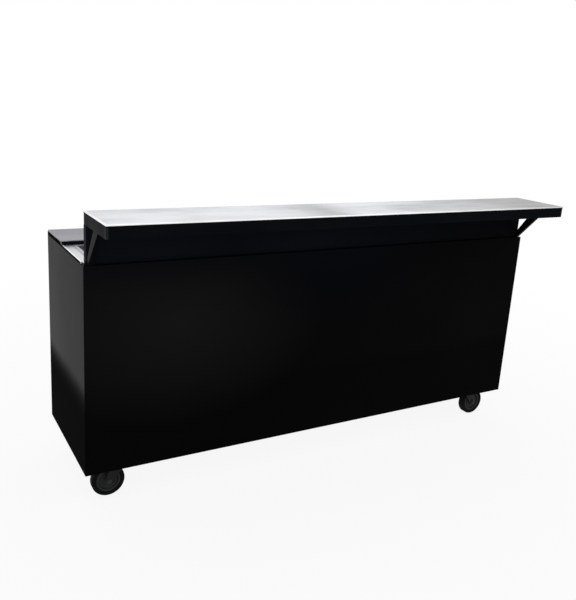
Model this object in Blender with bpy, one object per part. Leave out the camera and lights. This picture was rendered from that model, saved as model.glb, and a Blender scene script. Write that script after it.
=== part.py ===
"""Mobile refrigerated buffet counter: a black steel cabinet on four swivel casters, with a cold well in a
stainless deck, a raised bar shelf on the customers' side and doors and machinery on the operator's side.
Metres, +Z up, +X along the counter, the customers at -Y; the origin is on the floor under the middle."""

import math

import bmesh
import bpy
from mathutils import Matrix, Vector

for existing in list(bpy.data.objects):
    bpy.data.objects.remove(existing, do_unlink=True)

# Clearances
GAP = 0.0003                # between pieces that touch
CUT = 0.010                 # how far a cutting shape runs past the face it opens
RUNNING = 0.002             # between a turning piece and what it turns beside

# Cabinet
LENGTH = 2.040
CABINET_DEPTH = 0.540
PANEL_HEIGHT = 0.770
SHEET = 0.002
SIDE_RETURN = 0.018         # folded edges of the end panels
TOP_RETURN = 0.060          # folded top of the front panel, which carries the riser
BOTTOM_RETURN = 0.020
SKIRT_DROP = 0.020          # how far the panels hang below the caster plates
PAN_LIP = 0.025
RAIL_WIDTH = 0.110
RAIL_HEIGHT = 0.033
RAIL_SHEET = 0.003
RAIL_MARGIN = 0.025

# Bar shelf, riser and braces
BAR_RISE = 0.133            # from the counter to the shelf's underside
BAR_THICK = 0.046
BAR_DEPTH = 0.258
BAR_CORNER = 0.010
BAR_SKIN = 0.0012
RISER_SETBACK = 0.012
RISER_THICK = 0.030
RISER_INSET = 0.013
BRACE_HEAD = 0.050          # along the shelf's underside
BRACE_SEAT = 0.018          # up the riser's face
BRACE_THICK = 0.016
BRACE_INSET = 0.002

# Deck, cold well and ledge
DECK_SHEET = 0.0015
HEM_WIDTH = 0.008
HEM_HEIGHT = 0.006
LEDGE_DEPTH = 0.215
LEDGE_RISE = 0.018
WELL_END = 0.052
WELL_SETBACK = 0.085
WELL_WIDTH = 0.215
WELL_DEPTH = 0.165
WELL_FLANGE = 0.012
WELL_FOAM_SIDE = 0.028
WELL_FOAM_FLOOR = 0.022
WELL_FOAM_TOP_DROP = 0.012
FALSE_FLOOR_RISE = 0.022
FALSE_FLOOR_MARGIN = 0.010
FLOOR_SLOTS = 36
FLOOR_SLOT_WIDTH = 0.0035
FLOOR_SLOT_MARGIN = 0.030
COIL_RADIUS = 0.004
COIL_PITCH = 0.050
COIL_RUNS = 4
COIL_END_MARGIN = 0.060
DRAIN_INSET = 0.220         # from the right end
DRAIN_PIPE = 0.011
DRAIN_WALL = 0.003
DRAIN_BODY = 0.018
DRAIN_BODY_HEIGHT = 0.036
DRAIN_FLANGE = 0.020
DRAIN_DROP = 0.095
LEVER_HUB = 0.010
LEVER_THICK = 0.005
LEVER_LENGTH = 0.070
LEVER_WIDTH = 0.012
STEM_REACH = 0.010

# Storage, doors and the frame they close on
FRAME_THICK = 0.030
FASCIA_HEIGHT = 0.190
DOOR_THICK = 0.040
DOOR_CLEARANCE = 0.005
DOOR_TOP_GAP = 0.006
DOOR_FOOT = 0.012           # frame showing below the doors
SEAL_LAP = 0.030            # door past its opening, top and bottom
HINGE_LAP = 0.054           # door past its opening on the hinge side
MULLION = 0.040
MACHINE_LENGTH = 0.478      # opening of the machinery's room, at the right end
BULKHEAD = 0.070
MACHINE_STILE = 0.055
FOAM_WALL = 0.040
GASKET_THICK = 0.010
GASKET_OUT = 0.016
GASKET_IN = 0.002
HINGE_INSET = 0.008
HINGE_PIN = 0.0035
HINGE_PIN_LENGTH = 0.012
HINGE_TAB = 0.005
HINGE_TAB_WIDTH = 0.030
HINGE_BLOCK = 0.024         # solid corner of a door round its lower pin
DOOR_SHEET = 0.0015
HANDLE_REACH = 0.030
HANDLE_RADIUS = 0.005
HANDLE_LENGTH = 0.160
HANDLE_BEND = 0.010
HANDLE_INSET = 0.036
HANDLE_DROP = 0.060
SHELF_RISE = 0.230
SHELF_THICK = 0.005
SHELF_SIDE_GAP = 0.004
SHELF_LEDGE = 0.015
SHELF_SLOTS = 24
SHELF_BAR = 0.006
SHELF_RIM = 0.012

# Controls and service panel
PANEL_RECESS = 0.002        # fascia and louvre panel behind the doors' faces
LOUVRE_SLOT = 0.010
LOUVRE_PITCH = 0.028
LOUVRE_MARGIN = 0.060       # at each end
LOUVRE_TOP_MARGIN = 0.050
LOUVRE_FOOT = 0.005         # above the inlet's flange
KNOB_RADIUS = 0.021
KNOB_DEPTH = 0.018
KNOB_STEM = 0.003
KNOB_POINTER = 0.003
KNOB_INSET = 0.300          # from the right end
SWITCH_INSET = 0.210
SWITCH_WIDTH = 0.014
SWITCH_HEIGHT = 0.026
SWITCH_DEPTH = 0.010
SWITCH_TRAVEL_GAP = 0.0015
CONTROL_DROP = 0.085        # below the counter
INLET_RADIUS = 0.011
INLET_FLANGE = 0.016
INLET_BORE = 0.005
INLET_REACH = 0.008
INLET_INSET = 0.090
INLET_RISE = 0.045

# Refrigeration unit
UNIT_MARGIN = 0.020
UNIT_SHEET = 0.003
UNIT_LIP = 0.012
COMPRESSOR_RADIUS = 0.075
COMPRESSOR_HEIGHT = 0.175
COMPRESSOR_FOOT = 0.088
COMPRESSOR_FOOT_THICK = 0.005
COMPRESSOR_INSET = 0.130
COMPRESSOR_SETBACK = 0.120
CONDENSER_WIDTH = 0.300
CONDENSER_HEIGHT = 0.280
CONDENSER_DEPTH = 0.050
CONDENSER_FRAME = 0.014
CONDENSER_FINS = 20
FIN_THICK = 0.003
CONDENSER_INSET = 0.060
SHROUD_DEPTH = 0.030
SHROUD_WALL = 0.003
FAN_RADIUS = 0.088
FAN_TIP_GAP = 0.010
FAN_HUB = 0.016
FAN_BLADES = 5
FAN_BLADE_THICK = 0.002
FAN_BLADE_CHORD = 0.034
FAN_PITCH = math.radians(28)
MOTOR_RADIUS = 0.032
MOTOR_LENGTH = 0.055
MOTOR_SHAFT = 0.004
STRAP_HEIGHT = 0.030
LINE_RADIUS = 0.005
LINE_BEND = 0.025
LINE_RISE = 0.120           # suction stub above the unit's base
LINE_RUN = 0.033            # from the compressor's side to the line's upright

# Casters
CASTER_HEIGHT = 0.157
CASTER_INSET = 0.140
CASTER_SETBACK = 0.080
CASTER_TRAIL = 0.038
WHEEL_RADIUS = 0.0625
WHEEL_WIDTH = 0.032
TREAD_SHOULDER = 0.006
RIM_RADIUS = 0.0455
RIM_WIDTH = 0.027
RIM_THICK = 0.006
WEB_THICK = 0.012
HUB_RADIUS = 0.0165
HUB_WIDTH = 0.033
AXLE_RADIUS = 0.005
AXLE_NUT = 0.009
AXLE_NUT_THICK = 0.006
LEG_THICK = 0.0035
LEG_END = 0.0145
LEG_SPREAD = 0.0265
CROWN_HALF = 0.0285
CROWN_THICK = 0.005
CROWN_CLEARANCE = 0.0035    # over the tyre
HEAD_RADIUS = 0.027
KINGPIN_RADIUS = 0.006
PLATE_LENGTH = 0.100
PLATE_WIDTH = 0.085
PLATE_THICK = 0.004
PEDAL_PIN = 0.003
PEDAL_HUB = 0.007
PEDAL_OUT = 0.050           # pin from the wheel's axle, outwards
PEDAL_UP = 0.0565           # pin from the wheel's axle, upwards
PEDAL_REACH = 0.036
PEDAL_LIFT = 0.008
PEDAL_PAD = 0.0025
PEDAL_LOBE = 0.0115
PEDAL_LOBE_ANGLE = math.radians(263.5)

ROUND = 24                  # facets of a round piece
SMALL_ROUND = 12

# Places worked out from the sizes above
HALF = LENGTH / 2
INNER_X = HALF - SHEET
OVERHANG = BAR_DEPTH - RISER_SETBACK - RISER_THICK
FRONT_Y = (OVERHANG - CABINET_DEPTH - HANDLE_REACH) / 2
REAR_Y = FRONT_Y + CABINET_DEPTH
SKIRT_Z = CASTER_HEIGHT - SKIRT_DROP
COUNTER_Z = SKIRT_Z + PANEL_HEIGHT
RETURN_Y = FRONT_Y + TOP_RETURN
RAIL_Z = CASTER_HEIGHT + GAP
PAN_Z = RAIL_Z + RAIL_HEIGHT + GAP
PAN_FRONT_Y = FRONT_Y + SHEET + GAP
FLOOR_Z = PAN_Z + SHEET + GAP                           # what stands in the base pan
FLOOR_X = INNER_X - SHEET - 2 * GAP
FOAM_Y = PAN_FRONT_Y + SHEET + GAP
FRAME_BACK_Y = REAR_Y - DOOR_THICK - GASKET_THICK - 2 * GAP
FRAME_FRONT_Y = FRAME_BACK_Y - FRAME_THICK
PANEL_FACE_Y = REAR_Y - PANEL_RECESS
FASCIA_Z = COUNTER_Z - FASCIA_HEIGHT
DOOR_TOP_Z = FASCIA_Z - DOOR_TOP_GAP
DOOR_Z = FLOOR_Z + DOOR_FOOT
OPEN_Z = DOOR_Z + SEAL_LAP
OPEN_TOP_Z = DOOR_TOP_Z - SEAL_LAP
DOOR_X = -HALF + SIDE_RETURN + DOOR_CLEARANCE           # hinge edge of the left door
STORE_X = DOOR_X + HINGE_LAP
MACHINE_X = HALF - MACHINE_STILE - MACHINE_LENGTH
STORE_END_X = MACHINE_X - BULKHEAD
DOOR_END_X = STORE_END_X + HINGE_LAP                    # hinge edge of the right door
MIDDLE_X = (STORE_X + STORE_END_X) / 2
LINER_Y = FOAM_Y + FOAM_WALL
FOAM_END_X = STORE_END_X + SHEET + GAP + FOAM_WALL
SHELF_Z = OPEN_Z + SHELF_RISE
RISER_Y = FRONT_Y + RISER_SETBACK
RISER_BACK_Y = RISER_Y + RISER_THICK
BAR_X = HALF - RISER_INSET
BAR_Z = COUNTER_Z + BAR_RISE
BAR_TOP_Z = BAR_Z + BAR_THICK
DECK_Z = COUNTER_Z + GAP
DECK_TOP_Z = DECK_Z + DECK_SHEET
DECK_Y = RISER_BACK_Y + GAP
LEDGE_Y = REAR_Y - LEDGE_DEPTH
WELL_X = HALF - WELL_END
WELL_Y = FRONT_Y + WELL_SETBACK
WELL_END_Y = WELL_Y + WELL_WIDTH
WELL_MID_Y = (WELL_Y + WELL_END_Y) / 2
TUB_Z = DECK_TOP_Z - WELL_DEPTH
COIL_Z = TUB_Z - GAP - COIL_RADIUS
WELL_CAVITY_Z = COIL_Z - COIL_RADIUS - GAP
WELL_FOAM_Z = WELL_CAVITY_Z - WELL_FOAM_FLOOR
DRAIN_X = HALF - DRAIN_INSET
COIL_X = -WELL_X + COIL_END_MARGIN
COIL_Y = WELL_MID_Y - COIL_PITCH * (COIL_RUNS - 1) / 2  # first run, nearest the customers
UNIT_Z = FLOOR_Z + UNIT_SHEET + GAP
CONDENSER_X = MACHINE_X + CONDENSER_INSET
CONDENSER_Y = FRAME_FRONT_Y - UNIT_MARGIN - CONDENSER_DEPTH
FAN_X = CONDENSER_X + CONDENSER_WIDTH / 2
FAN_Z = UNIT_Z + CONDENSER_HEIGHT / 2
SHROUD_Y = CONDENSER_Y - GAP - SHROUD_DEPTH
COMPRESSOR_X = FOAM_END_X + COMPRESSOR_INSET
COMPRESSOR_Y = FRONT_Y + COMPRESSOR_SETBACK
LINE_X = COMPRESSOR_X + COMPRESSOR_RADIUS + LINE_RUN    # where the suction line goes up to the coil
COIL_END_X = LINE_X - LINE_RADIUS - GAP
CONTROL_Z = COUNTER_Z - CONTROL_DROP
KNOB_X = HALF - KNOB_INSET
SWITCH_X = HALF - SWITCH_INSET
INLET_X = HALF - INLET_INSET
INLET_Z = DOOR_Z + INLET_RISE
CROWN_TOP_Z = 2 * WHEEL_RADIUS + CROWN_CLEARANCE + CROWN_THICK
LEG_Y = WHEEL_WIDTH / 2 + RUNNING

origins = {}


def finish(name, colour, roughness, metallic=0.0):
    """A named surface finish."""
    material = bpy.data.materials.new(name)
    material.use_nodes = True
    shader = material.node_tree.nodes["Principled BSDF"]
    shader.inputs["Base Color"].default_value = (*colour, 1.0)
    shader.inputs["Roughness"].default_value = roughness
    shader.inputs["Metallic"].default_value = metallic
    material.diffuse_color = (*colour, 1.0)
    return material


BLACK_ENAMEL = finish("black_enamel", (0.006, 0.006, 0.006), 0.22)
BAR_LAMINATE = finish("bar_laminate", (0.012, 0.010, 0.009), 0.35)
STAINLESS = finish("stainless", (0.62, 0.62, 0.64), 0.32, 1.0)
GALVANISED = finish("galvanised", (0.42, 0.43, 0.44), 0.50, 1.0)
FOAM = finish("foam", (0.72, 0.62, 0.40), 0.95)
RUBBER = finish("rubber", (0.02, 0.02, 0.02), 0.70)
TYRE = finish("tyre_rubber", (0.015, 0.015, 0.015), 0.60)
WHEEL_CORE = finish("wheel_core", (0.030, 0.030, 0.032), 0.45)
ZINC = finish("zinc_plate", (0.10, 0.10, 0.105), 0.40, 0.8)
PLASTIC = finish("black_plastic", (0.015, 0.015, 0.015), 0.40)
SWITCH_RED = finish("switch_plastic", (0.45, 0.02, 0.02), 0.35)
COPPER = finish("copper", (0.55, 0.26, 0.14), 0.35, 1.0)
BRASS = finish("brass", (0.55, 0.42, 0.18), 0.35, 1.0)
COMPRESSOR_PAINT = finish("compressor_paint", (0.010, 0.010, 0.011), 0.45)
FIN_ALUMINIUM = finish("fin_aluminium", (0.55, 0.56, 0.57), 0.45, 1.0)


def mesh_of(shape, name="shape"):
    """A mesh from a finished bmesh, with its faces pointing out."""
    bmesh.ops.recalc_face_normals(shape, faces=shape.faces)
    mesh = bpy.data.meshes.new(name)
    shape.to_mesh(mesh)
    shape.free()
    return mesh


def block(low, high):
    """A box between two corners, given in any order."""
    shape = bmesh.new()
    bmesh.ops.create_cube(shape, size=1.0)
    low, high = Vector(low), Vector(high)
    for vertex in shape.verts:
        vertex.co = Vector(low[i] + (high[i] - low[i]) * (vertex.co[i] + 0.5) for i in range(3))
    return mesh_of(shape)


def prism(outline, axis, start, stop):
    """An outline in the plane across an axis (0 is X, 1 is Y, 2 is Z), drawn out along it."""
    across = [i for i in range(3) if i != axis]
    shape = bmesh.new()
    corners = []
    for point in outline:
        place = Vector((0.0, 0.0, 0.0))
        place[across[0]], place[across[1]], place[axis] = point[0], point[1], start
        corners.append(shape.verts.new(place))
    face = shape.faces.new(corners)
    drawn = bmesh.ops.extrude_face_region(shape, geom=[face])
    step = Vector((0.0, 0.0, 0.0))
    step[axis] = stop - start
    moved = [item for item in drawn["geom"] if isinstance(item, bmesh.types.BMVert)]
    bmesh.ops.translate(shape, verts=moved, vec=step)
    return mesh_of(shape)


def turned(profile, centre, axis=2, facets=ROUND, ring=False):
    """A profile of (radius, height) points turned about an axis through the centre."""
    shape = bmesh.new()
    points = [shape.verts.new((radius, 0.0, height)) for radius, height in profile]
    pairs = list(zip(points, points[1:]))
    if ring:
        pairs.append((points[-1], points[0]))
    edges = [shape.edges.new(pair) for pair in pairs]
    bmesh.ops.spin(shape, geom=points + edges, cent=(0, 0, 0), axis=(0, 0, 1), angle=math.tau,
                   steps=facets, use_merge=True)
    bmesh.ops.remove_doubles(shape, verts=shape.verts, dist=1e-6)
    turn = (Matrix.Rotation(math.pi / 2, 4, "Y"), Matrix.Rotation(-math.pi / 2, 4, "X"), Matrix())[axis]
    bmesh.ops.transform(shape, matrix=Matrix.Translation(centre) @ turn, verts=shape.verts)
    return mesh_of(shape)


def cylinder(radius, start, stop, centre, axis=2, facets=SMALL_ROUND):
    """A round bar along an axis; start and stop are measured from the centre."""
    return turned([(0.0, start), (radius, start), (radius, stop), (0.0, stop)], centre, axis, facets)


def hull(points):
    """The closed convex shape round a set of points."""
    shape = bmesh.new()
    for point in points:
        shape.verts.new(point)
    made = bmesh.ops.convex_hull(shape, input=shape.verts)
    loose = [item for item in made["geom_interior"] if isinstance(item, bmesh.types.BMVert)]
    bmesh.ops.delete(shape, geom=loose, context="VERTS")
    return mesh_of(shape)


def arc(centre, radius, start, stop, steps):
    """Points of an arc in a plane, from one angle to another."""
    angles = [start + (stop - start) * i / steps for i in range(steps + 1)]
    return [(centre[0] + radius * math.cos(a), centre[1] + radius * math.sin(a)) for a in angles]


def joined(meshes):
    """Several shapes that stay clear of each other, as one cutting shape."""
    shape = bmesh.new()
    for mesh in meshes:
        shape.from_mesh(mesh)
    return mesh_of(shape)


def place(thing, name, material, origin):
    """Links an object with its origin at a point, and notes the point for what it carries."""
    bpy.context.scene.collection.objects.link(thing)
    thing.name = name
    thing.data.materials.append(material)
    thing.location = origin
    origins[name] = Vector(origin)
    return thing


def piece(name, material, base, steps=(), origin=(0.0, 0.0, 0.0)):
    """One sub-part: a base shape with shapes joined to it or cut from it, in order."""
    base.transform(Matrix.Translation(-Vector(origin)))
    base.shade_smooth()
    base.set_sharp_from_angle(angle=math.radians(35))
    thing = place(bpy.data.objects.new(name, base), name, material, origin)
    for number, (operation, shape) in enumerate(steps):
        tool = bpy.data.objects.new(f"{name}_tool_{number}", shape)
        bpy.context.scene.collection.objects.link(tool)
        tool.hide_render = True
        tool.display_type = "WIRE"
        boolean = thing.modifiers.new(f"{operation}_{number}", "BOOLEAN")
        boolean.operation = {"add": "UNION", "cut": "DIFFERENCE"}[operation]
        boolean.solver = "EXACT"
        boolean.object = tool
    return thing


def attach(child, parent):
    """Hangs one piece on another without moving it."""
    child.parent = parent
    child.matrix_parent_inverse = Matrix.Translation(-origins[parent.name])


def bent_path(points, bend, steps=5):
    """A path through corner points, with each inner corner rounded."""
    corners = [Vector(point) for point in points]
    path = [corners[0]]
    for before, corner, after in zip(corners, corners[1:], corners[2:]):
        start = corner + (before - corner).normalized() * bend
        stop = corner + (after - corner).normalized() * bend
        for i in range(steps + 1):
            t = i / steps
            path.append(start.lerp(corner, t).lerp(corner.lerp(stop, t), t))
    path.append(corners[-1])
    return path


def rod(name, material, path, radius, origin=(0.0, 0.0, 0.0)):
    """A round bar or pipe along a path."""
    curve = bpy.data.curves.new(name, "CURVE")
    curve.dimensions = "3D"
    curve.bevel_depth = radius
    curve.bevel_resolution = 2
    curve.use_fill_caps = True
    spline = curve.splines.new("POLY")
    spline.points.add(len(path) - 1)
    for point, at in zip(spline.points, path):
        point.co = (*(Vector(at) - Vector(origin)), 1.0)
    return place(bpy.data.objects.new(name, curve), name, material, origin)


def tray(low, high, wall, open_axis, open_up):
    """A sheet box with one open side: its outer shape and the cut that hollows it."""
    inside_low = [value + wall for value in low]
    inside_high = [value - wall for value in high]
    if open_up:
        inside_high[open_axis] = high[open_axis] + CUT
    else:
        inside_low[open_axis] = low[open_axis] - CUT
    return block(low, high), ("cut", block(inside_low, inside_high))


# Cabinet shell


def front_panel():
    """A sheet with its top and bottom edges folded back; the returns stop short of the end panels."""
    face = FRONT_Y + SHEET
    outline = [(FRONT_Y, SKIRT_Z), (FRONT_Y + BOTTOM_RETURN, SKIRT_Z),
               (FRONT_Y + BOTTOM_RETURN, SKIRT_Z + SHEET), (face, SKIRT_Z + SHEET),
               (face, COUNTER_Z - SHEET), (RETURN_Y, COUNTER_Z - SHEET),
               (RETURN_Y, COUNTER_Z), (FRONT_Y, COUNTER_Z)]
    notches = [block((side * (INNER_X - GAP), face + GAP, SKIRT_Z - CUT),
                     (side * (HALF + CUT), RETURN_Y + CUT, COUNTER_Z + CUT)) for side in (-1, 1)]
    piece("front_panel", BLACK_ENAMEL, prism(outline, 0, -HALF, HALF), [("cut", joined(notches))])


def end_panel(name, side):
    """A sheet butting on the front panel, with its top, bottom and rear edges folded in."""
    front = FRONT_Y + SHEET + 2 * GAP
    back = RETURN_Y + GAP
    low, high = SKIRT_Z + SHEET, COUNTER_Z - SHEET
    inside = [(front - CUT, SKIRT_Z - CUT), (back, SKIRT_Z - CUT), (back, low), (REAR_Y - SHEET, low),
              (REAR_Y - SHEET, high), (back, high), (back, COUNTER_Z + CUT), (front - CUT, COUNTER_Z + CUT)]
    hollow = prism(inside, 0, side * (HALF - SIDE_RETURN - CUT), side * INNER_X)
    outer = block((side * (HALF - SIDE_RETURN), front, SKIRT_Z), (side * HALF, REAR_Y, COUNTER_Z))
    piece(name, BLACK_ENAMEL, outer, [("cut", hollow)])


def base_pan():
    """A shallow pan open at the rear, lipped against the front and end panels."""
    wide = INNER_X - GAP
    outer = block((-wide, PAN_FRONT_Y, PAN_Z), (wide, FRAME_BACK_Y, PAN_Z + PAN_LIP))
    hollow = block((SHEET - wide, PAN_FRONT_Y + SHEET, PAN_Z + SHEET),
                   (wide - SHEET, FRAME_BACK_Y + CUT, PAN_Z + PAN_LIP + CUT))
    piece("base_pan", GALVANISED, outer, [("cut", hollow)])


def caster_rail(name, side):
    """A channel under the pan, from front to rear, that the caster plates bolt to."""
    middle = side * (HALF - CASTER_INSET)
    inside = RAIL_WIDTH / 2 - RAIL_SHEET
    start, stop = FRONT_Y + RAIL_MARGIN, REAR_Y - RAIL_MARGIN
    outer = block((middle - RAIL_WIDTH / 2, start, RAIL_Z),
                  (middle + RAIL_WIDTH / 2, stop, RAIL_Z + RAIL_HEIGHT))
    hollow = block((middle - inside, start - CUT, RAIL_Z + RAIL_SHEET),
                   (middle + inside, stop + CUT, RAIL_Z + RAIL_HEIGHT + CUT))
    piece(name, GALVANISED, outer, [("cut", hollow)])


def cabinet_foam():
    """Foam poured round the storage liner: floor, walls, top and the bulkhead to the machinery."""
    back = FRAME_FRONT_Y - GAP
    outer = block((-FLOOR_X, FOAM_Y, FLOOR_Z), (FOAM_END_X, back, WELL_FOAM_Z - GAP))
    wall = SHEET + GAP
    hollow = block((STORE_X - wall, LINER_Y - GAP, OPEN_Z - wall),
                   (STORE_END_X + wall, back + CUT, OPEN_TOP_Z + wall))
    piece("cabinet_foam", FOAM, outer, [("cut", hollow)])


def storage_liner():
    """A stainless box open to the rear, with a ledge for the shelf on each end wall."""
    back = FRAME_FRONT_Y - GAP
    outer = block((STORE_X - SHEET, LINER_Y, OPEN_Z - SHEET),
                  (STORE_END_X + SHEET, back, OPEN_TOP_Z + SHEET))
    hollow = block((STORE_X, LINER_Y + SHEET, OPEN_Z), (STORE_END_X, back + CUT, OPEN_TOP_Z))
    ledges = [("add", block((edge - inward * SHEET / 2, LINER_Y + SHEET / 2, SHELF_Z - SHELF_LEDGE),
                            (edge + inward * SHELF_LEDGE, back - SHELF_RIM, SHELF_Z)))
              for edge, inward in ((STORE_X, 1), (STORE_END_X, -1))]
    piece("storage_liner", STAINLESS, outer, [("cut", hollow)] + ledges)


def storage_shelf():
    """A barred shelf that rests on the liner's ledges."""
    left, right = STORE_X + SHELF_SIDE_GAP, STORE_END_X - SHELF_SIDE_GAP
    front, back = LINER_Y + SHEET + SHELF_SIDE_GAP, FRAME_FRONT_Y - SHELF_RIM
    low = SHELF_Z + GAP
    pitch = (right - left - 2 * SHELF_RIM + SHELF_BAR) / SHELF_SLOTS
    slots = []
    for number in range(SHELF_SLOTS):
        start = left + SHELF_RIM + number * pitch
        slots.append(block((start, front + SHELF_RIM, low - CUT),
                           (start + pitch - SHELF_BAR, back - SHELF_RIM, low + SHELF_THICK + CUT)))
    plate = block((left, front, low), (right, back, low + SHELF_THICK))
    piece("storage_shelf", STAINLESS, plate, [("cut", joined(slots))])


# Rear frame and doors


def hinge_place(side):
    """The hinge axis of the left (-1) or right (1) door, in plan."""
    edge = DOOR_X if side < 0 else DOOR_END_X
    return edge - side * HINGE_INSET, REAR_Y - HINGE_INSET


def rear_frame():
    """The face frame that the doors close on, with a tab and a pin for each end of each hinge."""
    slab = block((-FLOOR_X, FRAME_FRONT_Y, FLOOR_Z), (FLOOR_X, FRAME_BACK_Y, COUNTER_Z - SHEET - GAP))
    gaps = ((STORE_X, MIDDLE_X - MULLION / 2), (MIDDLE_X + MULLION / 2, STORE_END_X),
            (MACHINE_X, HALF - MACHINE_STILE))
    openings = [block((left, FRAME_FRONT_Y - CUT, OPEN_Z), (right, FRAME_BACK_Y + CUT, OPEN_TOP_Z))
                for left, right in gaps]
    steps = [("cut", joined(openings))]
    for side in (-1, 1):
        edge = DOOR_X if side < 0 else DOOR_END_X
        x, y = hinge_place(side)
        for face, away in ((DOOR_TOP_Z, 1), (DOOR_Z, -1)):
            near = face + away * GAP
            tab = block((edge, FRAME_BACK_Y - FRAME_THICK / 2, near),
                        (edge - side * HINGE_TAB_WIDTH, PANEL_FACE_Y, near + away * HINGE_TAB))
            ends = sorted((near + away * HINGE_TAB / 2, face - away * HINGE_PIN_LENGTH))
            steps += [("add", tab), ("add", cylinder(HINGE_PIN, *ends, (x, y, 0.0)))]
    piece("rear_frame", STAINLESS, slab, steps)


def door_span(side):
    """The left and right edges of a door."""
    clear = DOOR_CLEARANCE / 2
    return (DOOR_X, MIDDLE_X - clear) if side < 0 else (MIDDLE_X + clear, DOOR_END_X)


def door(label, side):
    """A folded door shell, open underneath, with its gasket and pull; it turns on the frame's two pins."""
    x, y = hinge_place(side)
    origin = (x, y, (DOOR_Z + DOOR_TOP_Z) / 2)
    left, right = door_span(side)
    depth = HINGE_PIN_LENGTH + HINGE_INSET / 2
    holes = [cylinder(HINGE_PIN + GAP, DOOR_Z - CUT, DOOR_Z + depth, (x, y, 0.0)),
             cylinder(HINGE_PIN + GAP, DOOR_TOP_Z - depth, DOOR_TOP_Z + CUT, (x, y, 0.0))]
    shell, hollow = tray((left, REAR_Y - DOOR_THICK, DOOR_Z), (right, REAR_Y, DOOR_TOP_Z),
                         DOOR_SHEET, 2, False)
    inset = DOOR_SHEET / 2
    edge = DOOR_X + inset if side < 0 else DOOR_END_X - inset
    corner = block((edge, REAR_Y - inset, DOOR_Z + inset),
                   (edge - side * HINGE_BLOCK, REAR_Y - HINGE_BLOCK, DOOR_Z + HINGE_BLOCK))
    leaf = piece(f"door_{label}", STAINLESS, shell, [hollow, ("add", corner), ("cut", joined(holes))], origin)

    opening = (STORE_X, MIDDLE_X - MULLION / 2) if side < 0 else (MIDDLE_X + MULLION / 2, STORE_END_X)
    near, far = FRAME_BACK_Y + GAP, REAR_Y - DOOR_THICK - GAP
    outer = block((opening[0] - GASKET_OUT, near, OPEN_Z - GASKET_OUT),
                  (opening[1] + GASKET_OUT, far, OPEN_TOP_Z + GASKET_OUT))
    inner = block((opening[0] - GASKET_IN, near - CUT, OPEN_Z - GASKET_IN),
                  (opening[1] + GASKET_IN, far + CUT, OPEN_TOP_Z + GASKET_IN))
    attach(piece(f"gasket_{label}", RUBBER, outer, [("cut", inner)], origin), leaf)

    at = right - HANDLE_INSET if side < 0 else left + HANDLE_INSET
    out = REAR_Y + HANDLE_REACH - HANDLE_RADIUS
    top = DOOR_TOP_Z - HANDLE_DROP
    corners = [(at, REAR_Y + GAP, top), (at, out, top), (at, out, top - HANDLE_LENGTH),
               (at, REAR_Y + GAP, top - HANDLE_LENGTH)]
    attach(rod(f"handle_{label}", STAINLESS, bent_path(corners, HANDLE_BEND), HANDLE_RADIUS, origin), leaf)


# Deck, well and ledge


def deck():
    """A stainless sheet with a raised hem at each end, cut out for the well."""
    hem = DECK_Z + HEM_HEIGHT
    inside = HALF - HEM_WIDTH
    outline = [(-HALF, DECK_Z), (HALF, DECK_Z), (HALF, hem), (inside, hem), (inside, DECK_TOP_Z),
               (-inside, DECK_TOP_Z), (-inside, hem), (-HALF, hem)]
    opening = block((-WELL_X, WELL_Y, DECK_Z - CUT), (WELL_X, WELL_END_Y, DECK_TOP_Z + CUT))
    under_ledge = block((-HALF - CUT, LEDGE_Y - GAP, DECK_TOP_Z + GAP), (HALF + CUT, REAR_Y + CUT, hem + CUT))
    piece("deck", STAINLESS, prism(outline, 1, DECK_Y, REAR_Y), [("cut", opening), ("cut", under_ledge)])


def rear_ledge():
    """The raised work ledge: a sheet folded down on all four sides, open underneath."""
    outer, hollow = tray((-HALF, LEDGE_Y, DECK_TOP_Z + 2 * GAP), (HALF, REAR_Y, COUNTER_Z + LEDGE_RISE),
                         SHEET, 2, False)
    piece("rear_ledge", STAINLESS, outer, [hollow])


def well_liner():
    """The cold tub, hung in the deck's opening by a flange, with a drain hole in its floor."""
    x, front, back = WELL_X - GAP, WELL_Y + GAP, WELL_END_Y - GAP
    flange = DECK_TOP_Z + GAP
    tub = block((-x, front, TUB_Z), (x, back, flange + DECK_SHEET / 2))
    rim = block((-WELL_X - WELL_FLANGE, WELL_Y - WELL_FLANGE, flange),
                (WELL_X + WELL_FLANGE, WELL_END_Y + WELL_FLANGE, flange + DECK_SHEET))
    hollow = block((SHEET - x, front + SHEET, TUB_Z + SHEET), (x - SHEET, back - SHEET, flange + CUT))
    drain = cylinder(DRAIN_PIPE + GAP, TUB_Z - CUT, TUB_Z + CUT, (DRAIN_X, WELL_MID_Y, 0.0))
    piece("well_liner", STAINLESS, tub, [("add", rim), ("cut", hollow), ("cut", drain)])


def well_insulation():
    """A foam trough round the tub, with room under it for the coil, pierced for the drain and the line."""
    side = WELL_FOAM_SIDE
    outer = block((-WELL_X - side, WELL_Y - side, WELL_FOAM_Z),
                  (WELL_X + side, WELL_END_Y + side, COUNTER_Z - WELL_FOAM_TOP_DROP))
    hollow = block((-WELL_X, WELL_Y, WELL_CAVITY_Z), (WELL_X, WELL_END_Y, COUNTER_Z))
    pierced = [cylinder(radius + GAP, WELL_FOAM_Z - CUT, WELL_CAVITY_Z + CUT, (x, y, 0.0))
               for radius, x, y in ((DRAIN_PIPE, DRAIN_X, WELL_MID_Y), (LINE_RADIUS, LINE_X, COIL_Y))]
    piece("well_insulation", FOAM, outer, [("cut", hollow), ("cut", joined(pierced))])


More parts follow.
